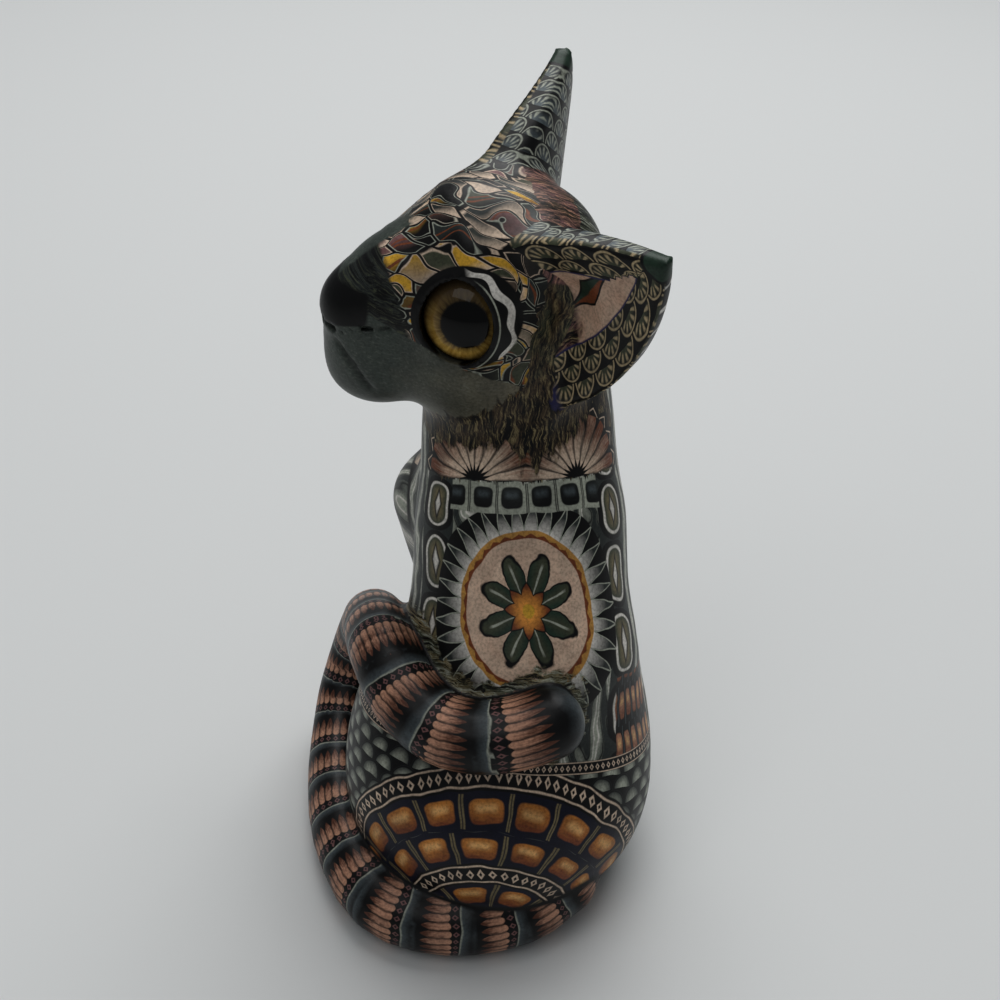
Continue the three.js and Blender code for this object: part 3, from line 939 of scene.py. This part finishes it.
def waves(w):
    """Wandering stripes: a triangle wave across, bent by noise, with a fine line in each."""
    bent = noise(vector(w["Across"] * 0.16, w["Along"] * 0.09), 1.0) * 9
    fold = (w["Across"] + bent).fold(w["Width"])
    fine = noise(vector(w["Across"] * 2.2 + bent, w["Along"] * 0.3), 1.0)
    body = mix((fold + (fine - 0.5) * 0.5).rise(0.5, 0.3), w["Dark"], w["Middle"])
    body = mix(fold.between(0.74, 0.86, 0.05), body, w["Light"])
    return mix(fold.between(0.3, 0.38, 0.04), body, SOOT)


def shards(w):
    """Broken slices: each Voronoi cell is split between two clays and has a pale outline."""
    bent = noise(vector(w["Across"] * 0.16, w["Along"] * 0.5, w["Depth"] * 0.16), 1.0, 1.0) - 0.5
    across = w["Across"] + bent * 10
    at = vector(across, w["Along"], w["Depth"])
    cells = at.tree.nodes.new("ShaderNodeTexVoronoi")
    edges = at.tree.nodes.new("ShaderNodeTexVoronoi")
    edges.feature = "DISTANCE_TO_EDGE"
    for node in (cells, edges):
        plug(at, node.inputs["Vector"])
        node.inputs["Scale"].default_value = 0.55
    random = Wire(at.tree, cells.outputs["Color"]).parts()
    middle = Wire(at.tree, cells.outputs["Position"]).parts()
    edge = Wire(at.tree, edges.outputs["Distance"])
    lean = (across - middle[0]) * 0.5 + (w["Along"] - middle[1]) * 0.8
    body = mix(random[0].rise(0.3, 0.02), SLATE, MOSS)
    body = mix(random[0].rise(0.55, 0.02), body, MAUVE)
    body = mix(random[0].rise(0.68, 0.02), body, OCHRE)
    body = mix(lean.rise(0.15, 0.5), body, mix(random[1].rise(0.52, 0.02), SOOT, CREAM))
    body = mix((lean.abs() + random[1]).between(0.4, 0.52, 0.03), body, RUST)
    body = mix(random[2].fall(0.1, 0.02), body, SOOT)
    body = mix(edge.fall(0.086, 0.014), body, mix(random[1].rise(0.5, 0.02), SAGE, CREAM))
    return mix(edge.fall(0.052, 0.014), body, SOOT)


SMEARS = cane("smears", {"Across": 0.0, "Along": 0.0, "Dark": SLATE, "Middle": KHAKI,
                         "Light": SAGE, "Line": SOOT}, smears)
WAVES = cane("waves", {"Across": 0.0, "Along": 0.0, "Width": 3.4, "Dark": SLATE,
                       "Middle": STEEL, "Light": SAGE}, waves)
SHARDS = cane("shards", {"Across": 0.0, "Along": 0.0, "Depth": 0.0}, shards)


# %% [markdown]
# Now the layout, from the tail to the ears. Each zone is a function that returns a colour, and
# masks made from the attributes lay one zone over another.

# %% Tail bands
def tail_zone(tree):
    """Rings along the tail: black that pales to a line, a pink braid, and long fluted pleats."""
    rings, side, over = read(tree, "tail_at").parts()
    sway = wobble(tree, 0.16)
    rings = rings + sway[0]
    around = side.math("ARCTAN2", over) * TAIL_RADIUS
    place = rings.fract()
    width = 2 * np.pi * TAIL_RADIUS / 26
    cloud = noise(vector(around * 0.4, rings * 3), 1.0)
    pale = mix((place + (cloud - 0.5) * 0.1).rise(0.2, 0.12), SOOT, STEEL)
    pale = mix(place.rise(0.275, 0.02), pale, SAGE)
    braid = slice_of(CHECKS, around, (place - 0.39) * 10, Size=width, Light=MAUVE)
    fluted = slice_of(PLEATS, around, place - 0.47, Width=width, Length=0.53, Root=BLUSH,
                      Tip=clay_colour(98, 60, 44))
    zone = mix(place.rise(0.3, 0.01), pale, braid)
    return mix(place.rise(0.48, 0.01), zone, fluted)


# %% Rump
ARCH_CENTRE = -21
TILE_ARCHES = [(1.0, 5.4), (6.0, 10.6), (14.2, 18.8), (19.4, 24.2)]
TILE_WIDTH = 6.4
BRAID_ARCHES = [12.4, 26.2]


def arch_row(reach, angle, inner, outer, tile_width):
    """One arch of tiles between two radii, with a whole number of tiles round it."""
    middle = (inner + outer) / 2
    girth = 2 * np.pi * middle
    return slice_of(TILES, angle * middle, reach - inner, Width=girth / round(girth / tile_width),
                    Length=outer - inner)


def rump_zone(tree):
    """Arches round the root of the tail: amber tiles and cream braids over a ground of scales."""
    along, back, right = read(tree, "trunk_at").parts()
    sway = wobble(tree, 1.1)
    x = (right.math("ARCTAN2", back) - 0.05) * 20 + sway[0]
    y = along - ARCH_CENTRE + sway[1]
    reach = hypot(x, y)
    angle = x.math("ARCTAN2", y)
    zone = slice_of(SCALES, x, y, Size=4.0, Ribs=0.0, Heart=SAGE, Rim=SLATE)
    for inner, outer in TILE_ARCHES:
        zone = mix(reach.between(inner - 0.3, outer + 0.3), zone, NAVY)
        zone = mix(reach.between(inner, outer), zone, arch_row(reach, angle, inner, outer, TILE_WIDTH))
    for edge in BRAID_ARCHES:
        zone = mix(reach.between(edge - 1.8, edge + 1.8), zone, SOOT)
        braid = slice_of(CHECKS, angle * edge, reach - edge, Size=1.5, Light=CREAM)
        zone = mix(reach.between(edge - 1.7, edge + 1.7), zone, braid)
    return zone


# %% Back and flanks
MEDALLION = {"turn": 0.07, "along": 27.0, "radius": 15.5, "squash": 0.88}
OVAL_COLUMN = {"side": 15, "low": 11.5, "high": 18.5}
BLOCK_ROW = 40.6
FUR_EDGE = 49.3
FAN_AT = {"side": 8, "along": 46}


def medallion_reach(along, turn):
    """Distance and angle from the oval's centre, its height squashed to make a circle of it."""
    x = (turn - MEDALLION["turn"]) * MEDALLION["radius"]
    y = (along - MEDALLION["along"]) * MEDALLION["squash"]
    return hypot(x, y), x.math("ARCTAN2", y)


def medallion(along, turn):
    """Oval of cream with an eight-petalled rosette, a stepped ochre rim and fluted steel round it."""
    reach, angle = medallion_reach(along, turn)
    cloud = noise(vector(reach * 0.4, angle), 1.5)
    petal = (angle * (8 / (2 * np.pi))).fold(1)
    shape = reach / 6.4 + petal * petal * 0.6 + (cloud - 0.5) * 0.3
    tooth = (reach - 9.2) / 4.2 + (angle * 10).fold(2 * np.pi * 10 / 34)
    zone = mix(tooth.fall(1.0), SOOT, mix(reach.rise(10.6, 1.5), WHITE, SLATE))
    zone = mix(tooth.between(1.0, 1.14, 0.03), zone, SAGE)
    zone = mix(reach.fall(9.3), zone, clay_colour(204, 156, 84))
    zone = mix((reach + (angle * 5).fold(1) * 0.4).fall(8.9), zone, RUST)
    zone = mix(reach.fall(8.3), zone, mix(cloud * 0.5, CREAM, BLUSH))
    leaf = mix(petal.rise(0.4, 0.3), MOSS, TEAL)
    zone = mix(shape.fall(1.06, 0.02), zone, SOOT)
    zone = mix(shape.fall(0.98, 0.02), zone, leaf)
    vein = petal.fall(0.08, 0.03) * shape.fall(0.85)
    zone = mix(vein, zone, SAGE)
    heart = reach / 3.0 + petal.flipped() * 0.4
    zone = mix(heart.fall(1.08, 0.03), zone, SOOT)
    zone = mix(heart.fall(1.0, 0.03), zone, mix(reach.rise(1.8, 0.8), AMBER, RUST))
    return mix(reach.fall(0.8), zone, OCHRE)


def fan(x, along):
    """One half-round fan: cream petals that darken to rust tips, then a cream zigzag."""
    reach = hypot(x, along)
    angle = x.math("ARCTAN2", along)
    width = np.pi * 6 / 10
    petals = slice_of(PLEATS, angle * 6, reach - 1.6, Width=width, Length=9.8, Root=CREAM)
    petals = mix(reach.between(6.5, 8.5, 1.5) * 0.35, petals, SOOT)
    border = reach + (angle * 6).fold(width) * 1.6
    edge = mix(border.between(11.0, 11.3, 0.05), SOOT, CREAM)
    return mix(reach.rise(9.9, 0.05), petals, edge), border.fall(12.2)


def blocks(x, along):
    """A row of dark pillows with a steel glint on a pale ground."""
    return slice_of(TILES, x, along, Width=4.4, Length=5.2, Dark=SOOT, Light=SLATE, Glint=STEEL,
                    Outline=SOOT, Ground=SAGE)


def back_zone(tree):
    along, back, right = read(tree, "trunk_at").parts()
    sway = wobble(tree, 1.1)
    along = along + sway[0]
    turn = right.math("ARCTAN2", back) + sway[1] * 0.05
    x = (turn - 0.1) * 16
    side = x.abs()
    zone = slice_of(WAVES, x, along, Middle=SAGE, Light=WHITE)
    column = slice_of(OVALS, side - OVAL_COLUMN["side"], along + x * 0.05, Width=7.0, Length=9.0)
    zone = mix(side.between(OVAL_COLUMN["low"], OVAL_COLUMN["high"]), zone, column)
    reach, _ = medallion_reach(along, turn)
    zone = mix(reach.fall(13.6), zone, medallion(along, turn))
    in_row = along.between(BLOCK_ROW - 0.1, BLOCK_ROW + 5.2) * side.fall(12)
    zone = mix(in_row, zone, blocks(x, along - BLOCK_ROW))
    bars = slice_of(TILES, x, along, Width=1.7, Length=5.4, Shift=0.5, Dark=RUST, Light=BLUSH,
                    Outline=STEEL, Ground=SOOT)
    zone = mix(x.between(13.0, 23.0) * along.between(6.8, 17.5), zone, bars)
    fur = slice_of(SMEARS, x, along, Dark=SOOT, Middle=BARK, Light=KHAKI)
    ragged = noise(vector(x * 2.5, along * 0.4), 1.0) * 6
    zone = mix((along + ragged).rise(FUR_EDGE, 0.3) * side.fall(19), zone, fur)
    shoulder, fan_mask = fan(side - FAN_AT["side"], along - FAN_AT["along"])
    zone = mix(along.rise(FAN_AT["along"]) * fan_mask, zone, shoulder)
    chest = slice_of(SCALES, x, along, Size=4.2, Ribs=0.3, Heart=CREAM, Rim=MOSS)
    return mix(side.rise(33), zone, chest)


# %% Legs
def leg_zone(tree):
    """Socks: rings of pleats and braids up the legs, and plain dark paws."""
    texture = tree.nodes.new("ShaderNodeTexCoord")
    x, y, z = [part * 1000 for part in Wire(tree, texture.outputs["Object"]).parts()]
    place = (z / 8).fract() * 8
    around = x.abs() * 1.3 + y * 0.8
    rings = slice_of(PLEATS, around, place, Width=1.7, Length=4.4, Root=KHAKI, Tip=SLATE)
    rows = slice_of(CHECKS, around, place - 6.1, Size=1.8, Light=BLUSH)
    zone = mix(place.rise(4.4), rings, rows)
    zone = mix(z.rise(30, 0.5), zone, slice_of(WAVES, around, z, Middle=SAGE, Light=WHITE))
    return mix(z.fall(7.5, 0.6), zone, SLATE)


# %% [markdown]
# The face follows the photograph most closely: a plain dark muzzle, a black nose, a black band
# round the eye with pale marks, shards over the brow, and a cream ear with a scaled border and
# a green tip.

# %% Face
def eye_band(rear, over):
    """Black lid with a thin pale line inside it and a flat pale wave along its middle."""
    reach = hypot(rear + LID_SHIFT[0], over + LID_SHIFT[1])
    angle = (rear + LID_SHIFT[0]).math("ARCTAN2", over + LID_SHIFT[1])
    wave = reach - rear * 0.12 + (angle * 11).math("SINE") * 0.28
    broken = noise(vector(rear, over), 0.3, 0.0)
    band = mix(reach.between(7.0, 7.2, 0.05) * rear.rise(0.5, 1.0), SOOT, SAGE)
    stroke = (wave - 7.9).abs() + broken * 1.2
    band = mix(stroke.fall(0.88, 0.05) * (rear + over * 0.5).rise(2.0, 0.5), band, WHITE)
    return band, reach - rear * 0.3 - over * 0.2


def muzzle_clay(forward, left, up):
    """Plain clay that pales from the nose to the cheek, clouded and faintly scratched."""
    cloud = noise(vector(forward, left, up), 0.2, 3.0)
    scratch = noise(vector(forward * 0.3, left * 3, up * 3), 1.0, 3.0)
    grey = mix((forward + cloud * 8).fall(12.5, 8.0), clay_colour(74, 82, 76), clay_colour(122, 116, 98))
    return mix(scratch.rise(0.62, 0.1) * 0.15, grey, SAGE)


def face_zone(tree):
    forward, left, up = read(tree, "head_at").parts()
    _, rear, over = read(tree, "eye_at").parts()
    to_ear = left * 0.62 - forward * 0.78
    zone = slice_of(SHARDS, left * 0.78 + forward * 0.62, to_ear * 0.25, Depth=up * 0.75)
    stubble = slice_of(SMEARS, up * 1.5, forward * 1.5, Dark=SOOT, Middle=SLATE, Light=MOSS)
    zone = mix((forward - up * 0.4 + noise(vector(forward, up), 0.8) * 2).rise(18.8, 0.3), zone, stubble)
    wave = noise(vector(up * 0.35, left * 0.35), 1.0) * 5
    fur = slice_of(SMEARS, left, forward, Dark=BARK, Middle=MAUVE, Light=BLUSH)
    zone = mix((forward + wave).fall(2.2, 0.1), zone, fur)
    strips = slice_of(SMEARS, forward * 0.8, up, Dark=BARK, Middle=MOSS, Light=KHAKI)
    zone = mix((forward + wave).fall(2.2, 0.1) * up.fall(5.0, 0.2), zone, strips)
    zone = mix((forward + wave).fall(-4.0, 0.1), zone, slice_of(SMEARS, left, up, Dark=SOOT, Middle=MOSS))
    band, outer = eye_band(rear, over)
    zone = mix(outer.fall(7.3, 0.08), zone, band)
    muzzle = muzzle_clay(forward, left, up)
    cheek_line = forward * 0.25 + noise(vector(forward, left), 0.35) * 1.4 - 10.6
    cheek = up.fall(cheek_line, 0.12) * (forward + up * 0.5).rise(-4.6, 0.12)
    bridge = (forward + wave).rise(17.0, 0.4) * left.fall(-0.8, 0.3)
    zone = mix((cheek + bridge).math("MINIMUM", 1.0), zone, muzzle)
    lip = left * left * 0.08 - 9.3
    nose = (forward + left.abs() * 0.25 + up * 0.1).rise(21.6, 0.15) * up.rise(lip, 0.15)
    nose = nose * (up - left.abs() * 0.2).fall(-3.2, 0.15)
    return mix(nose, zone, SOOT)


# %% Ears
def ear_zone(tree):
    height, width, depth = read(tree, "ear_at").parts()
    sway = wobble(tree, 1.0)
    height = height + sway[0]
    width = width + sway[1]
    inset = read(tree, "ear_inset", "Fac") + sway[2]
    cream = mix(noise(vector(height, width), 0.3) * 0.9, CREAM, BLUSH)
    slant = width + height * 0.35 - 4.8
    leaf = (slant.abs() / 1.7 + ((height - 12.5) / 4.6).abs())
    inner = mix(leaf.fall(1.15, 0.03), cream, SOOT)
    inner = mix(leaf.fall(0.95, 0.03), inner, mix(slant.rise(0, 0.1), TEAL, RUST))
    deep = slice_of(SMEARS, width, height, Dark=SOOT, Middle=MAUVE, Light=KHAKI)
    shade = height + width.abs() * 0.3 + noise(vector(height, width), 0.5) * 3
    inner = mix(shade.fall(10.2, 0.6), inner, deep)
    rim = inset - width.math("MAXIMUM", 0.0) * 0.2
    inner = mix(rim.fall(5.6, 0.12), inner, clay_colour(50, 48, 92))
    border = slice_of(SCALES, height, inset * -1 + 7, Size=4.4, Heart=MOSS, Rim=SOOT,
                      Line=clay_colour(190, 172, 138))
    zone = mix(rim.fall(5.3) * height.rise(1.0, 0.5), inner, border)
    outer = slice_of(SCALES, width + depth * 1.4, height, Size=4.4, Heart=STEEL, Rim=SOOT, Line=SAGE)
    blobs = slice_of(CHECKS, height, inset - 1.3, Size=2.6, Light=WHITE)
    outer = mix(inset.fall(2.8) * width.rise(0, 0.2), outer, blobs)
    zone = mix(depth.fall(0.7, 0.1), zone, outer)
    tip = height - width.math("MAXIMUM", 0.0) * 0.5
    zone = mix(tip.rise(23.9, 0.1), zone, SOOT)
    return mix(tip.rise(24.4, 0.1), zone, TEAL)


# %% [markdown]
# A renderer only has so much room for one shader, so each zone of the body has a material of its
# own. Two materials meet in the middle of something that both of them lay: a braid above the
# rump, a black line of painted shade along the crease round the tail and the legs, and smeared
# clay over the neck.

# %% Borders between zones
RUMP_EDGE = 6.4
LEG_EDGE = 0.6


def with_braid(tree, zone):
    along, back, right = read(tree, "trunk_at").parts()
    braid = slice_of(CHECKS, right.math("ARCTAN2", back) * 16, along - RUMP_EDGE, Size=0.8, Light=CREAM)
    return mix(along.between(RUMP_EDGE - 0.8, RUMP_EDGE + 0.8), zone, braid)


# Painted shade: a black line laid along the crease where the tail or a leg meets the body.
def with_painted_shade_line(tree, name, edge, zone):
    return mix(read(tree, name, "Fac").between(edge - 0.5, edge + 0.5, 0.3), zone, SOOT)


def with_nape(tree, edge, zone):
    """Smeared clay over the neck, whose edge is ragged like tufts of hair."""
    along, back, right = read(tree, "trunk_at").parts()
    turn = right.math("ARCTAN2", back)
    ragged = noise(vector(turn * 12, along * 0.3), 1.0, 3.0) - 0.5
    mask = (read(tree, "on_head", "Fac") + ragged * 5).rise(edge, 0.3)
    fur = slice_of(SMEARS, turn * 16, along, Dark=SOOT, Middle=BARK, Light=KHAKI)
    return mix(mask, zone, fur) if edge < 0 else mix(mask, fur, zone)


def with_tail_fur(tree, zone):
    """Khaki fur that the folded tail lies in, a few ragged millimetres wide."""
    along, back, right = read(tree, "trunk_at").parts()
    ragged = noise(vector(right * 0.6, back * 0.6, along * 0.6), 1.0, 3.0) * 6
    mask = (read(tree, "on_tail", "Fac") + ragged).rise(0.6, 0.3) * along.between(6.8, 30, 0.4)
    return mix(mask, zone, slice_of(SMEARS, along, right, Dark=MOSS, Middle=KHAKI, Light=SAGE))


# %% Clay materials
def back_clay(tree):
    zone = with_tail_fur(tree, with_braid(tree, back_zone(tree)))
    zone = with_painted_shade_line(tree, "on_leg", LEG_EDGE, zone)
    return with_nape(tree, -4, with_painted_shade_line(tree, "on_tail", 0, zone))


def rump_clay(tree):
    zone = with_painted_shade_line(tree, "on_leg", LEG_EDGE, with_braid(tree, rump_zone(tree)))
    return with_painted_shade_line(tree, "on_tail", 0, zone)


def leg_clay(tree):
    return with_nape(tree, -4, with_painted_shade_line(tree, "on_leg", LEG_EDGE, leg_zone(tree)))


def tail_clay(tree):
    return with_painted_shade_line(tree, "on_tail", 0, tail_zone(tree))


def head_clay(tree):
    zone = mix(read(tree, "on_ear", "Fac").rise(0.3, 0.1), face_zone(tree), ear_zone(tree))
    return with_nape(tree, 1.5, zone)


def clay_material(name, zones):
    material = bpy.data.materials.new(name)
    material.use_nodes = True
    tree = material.node_tree
    shader = tree.nodes["Principled BSDF"]
    texture = tree.nodes.new("ShaderNodeTexCoord")
    at = Wire(tree, texture.outputs["Object"])
    handled = noise(at, 260.0, 4.0)
    face_crease_shade = read(tree, "face_crease_shade", "Fac")
    colour = mix(handled.fall(0.52, 0.14) * 0.26, zones(tree), SOOT)
    colour = mix(noise(at, 2600.0).fall(0.46, 0.12) * 0.3, colour, SOOT)
    # Painted shade: black laid into the mouth and chin creases, through the crease mask.
    plug(mix(face_crease_shade, colour, SOOT), shader.inputs["Base Color"])
    plug(handled * 0.3 + 0.24, shader.inputs["Roughness"])
    shader.inputs["Specular IOR Level"].default_value = 0.3
    bump = tree.nodes.new("ShaderNodeBump")
    bump.inputs["Distance"].default_value = 0.00005
    plug(noise(at, 700.0, 4.0), bump.inputs["Height"])
    plug(Wire(tree, bump.outputs[0]), shader.inputs["Normal"])
    print(name, len(tree.nodes), "nodes")
    return material


make_piece("clay_skin", skin_mesh, clay_material("back_clay", back_clay), "patterned_clay", "clay_cat")
for zones in (rump_clay, leg_clay, tail_clay, head_clay):
    skin_mesh.materials.append(clay_material(zones.__name__, zones))
edges = [(-along_trunk, -RUMP_EDGE), (on_leg, LEG_EDGE), (on_tail, 0), (on_head, 0)]
kinds = np.zeros(len(skin_quads), np.int32)
for kind, (values, edge) in enumerate(edges, start=1):
    kinds[values[skin_quads].mean(1) > edge] = kind
skin_mesh.polygons.foreach_set("material_index", kinds)
print("quads of each clay", np.bincount(kinds))


# %% [markdown]
# A glass eye is a clear dome over a painted iris. Here the dome is turned from its outline, and
# the iris, its fibres and the pupil are painted under a clear coat, with painted shade and a
# painted dark reflection over the upper side of the iris.

# %% Glass eyes
PUPIL_RADIUS = 3.35
IRIS_EDGE = 5.5


def eye_outline():
    """Flat back, short edge, then an arc whose radius comes from the dome's width and rise."""
    half_angle = np.arcsin(EYE_RADIUS / DOME_RADIUS)
    a = np.linspace(half_angle, 0.001, 40)
    arc = np.stack([DOME_RADIUS * np.sin(a), EYE_EDGE + EYE_DOME - DOME_RADIUS * (1 - np.cos(a))], axis=1)
    return np.vstack([[(0.01, 0), (EYE_RADIUS, 0)], arc])


def turned_eye(outline, sides, side):
    """Surface of revolution: each outline point (radius, height) is carried round the eye's axis."""
    seat, look, rear, over = eye_axes(side)
    angles = np.linspace(0, 2 * np.pi, sides, endpoint=False)
    radius, height = outline[:, :1], outline[:, 1:]
    x, y, z = radius * np.cos(angles), radius * np.sin(angles), height + 0 * angles
    rings = seat + x[..., None] * rear + y[..., None] * over + z[..., None] * look
    n, m = np.meshgrid(np.arange(len(outline) - 1), np.arange(sides), indexing="ij")
    k = (m + 1) % sides
    quads = np.stack([n * sides + m, n * sides + k, (n + 1) * sides + k, (n + 1) * sides + m], axis=-1)
    quads = quads.reshape(-1, 4)
    flat = np.stack([x, y, z], axis=-1).reshape(-1, 3)
    points = rings.reshape(-1, 3) @ HEAD_AXES.T + HEAD_CENTRE
    return points, quads[:, ::-1] if side > 0 else quads, flat


def eye_material():
    material = bpy.data.materials.new("eye_glass")
    material.use_nodes = True
    tree = material.node_tree
    shader = tree.nodes["Principled BSDF"]
    x, y, _ = read(tree, "eye_at").parts()
    reach = hypot(x, y)
    angle = x.math("ARCTAN2", y)
    fibres = noise(vector(angle * 9, reach * 0.5), 1.0, 4.0)
    iris = mix(fibres.rise(0.5, 0.2), clay_colour(164, 126, 54), clay_colour(212, 180, 100))
    # Painted shade and a painted dark reflection: the iris darkens toward its upper, front side.
    iris = mix((y * 0.8 - x * 0.4).rise(0.4, 3.4) * 0.9, iris, clay_colour(60, 50, 42))
    iris = mix((reach + fibres * 1.0).fall(4.2, 0.6) * 0.9, iris, clay_colour(38, 30, 20))
    iris = mix(reach.rise(IRIS_EDGE, 0.3) * 0.9, iris, clay_colour(60, 44, 24))
    pupil = (reach + noise(vector(x, y), 1.2) * 0.25).fall(PUPIL_RADIUS, 0.14)
    plug(mix(pupil, iris, (0.001, 0.001, 0.001)), shader.inputs["Base Color"])
    shader.inputs["Roughness"].default_value = 0.12
    shader.inputs["Specular IOR Level"].default_value = 0.0
    shader.inputs["Coat Weight"].default_value = 0.55
    shader.inputs["Coat Roughness"].default_value = 0.03
    return material


glass = eye_material()
for name, side in (("left_eye", 1), ("right_eye", -1)):
    points, quads, flat = turned_eye(eye_outline(), 72, side)
    eye_mesh = make_mesh(name + "_glass", points, quads)
    give(eye_mesh, "eye_at", flat)
    make_piece(name + "_glass", eye_mesh, glass, "eye_glass", name)
print("eyes", EYE_RADIUS * 2, "mm across")


# %% [markdown]
# The cat stands on a pale sheet under soft light. The light comes mostly from above and from
# beyond the cat, so the side that faces the camera is the darker one.

# %% Floor and lights
def make_floor():
    mesh = bpy.data.meshes.new("floor")
    half = 1.5
    corners = [(-half, -half, 0), (half, -half, 0), (half, half, 0), (-half, half, 0)]
    mesh.from_pydata(corners, [], [(0, 1, 2, 3)])
    floor = bpy.data.objects.new("floor", mesh)
    bpy.context.scene.collection.objects.link(floor)
    material = bpy.data.materials.new("pale_sheet")
    material.use_nodes = True
    shader = material.node_tree.nodes["Principled BSDF"]
    shader.inputs["Base Color"].default_value = (0.65, 0.66, 0.655, 1)
    shader.inputs["Roughness"].default_value = 0.7
    mesh.materials.append(material)


def soft_light(name, place, target, size, power):
    light = bpy.data.objects.new(name, bpy.data.lights.new(name, "AREA"))
    bpy.context.scene.collection.objects.link(light)
    light.data.size = size
    light.data.energy = power
    light.location = place
    light.rotation_mode = "QUATERNION"
    light.rotation_quaternion = (Vector(place) - Vector(target)).to_track_quat("Z", "Y")


make_floor()
soft_light("window", (-0.06, -0.52, 0.97), (0, 0, 0.05), 0.9, 8.2)
soft_light("ceiling", (0.25, 0.45, 1.0), (0, 0, 0.05), 0.8, 2.0)
world = bpy.data.worlds.new("room")
bpy.context.scene.world = world
world.use_nodes = True
world.node_tree.nodes["Background"].inputs["Color"].default_value = (0.93, 0.96, 1, 1)
world.node_tree.nodes["Background"].inputs["Strength"].default_value = 0.2
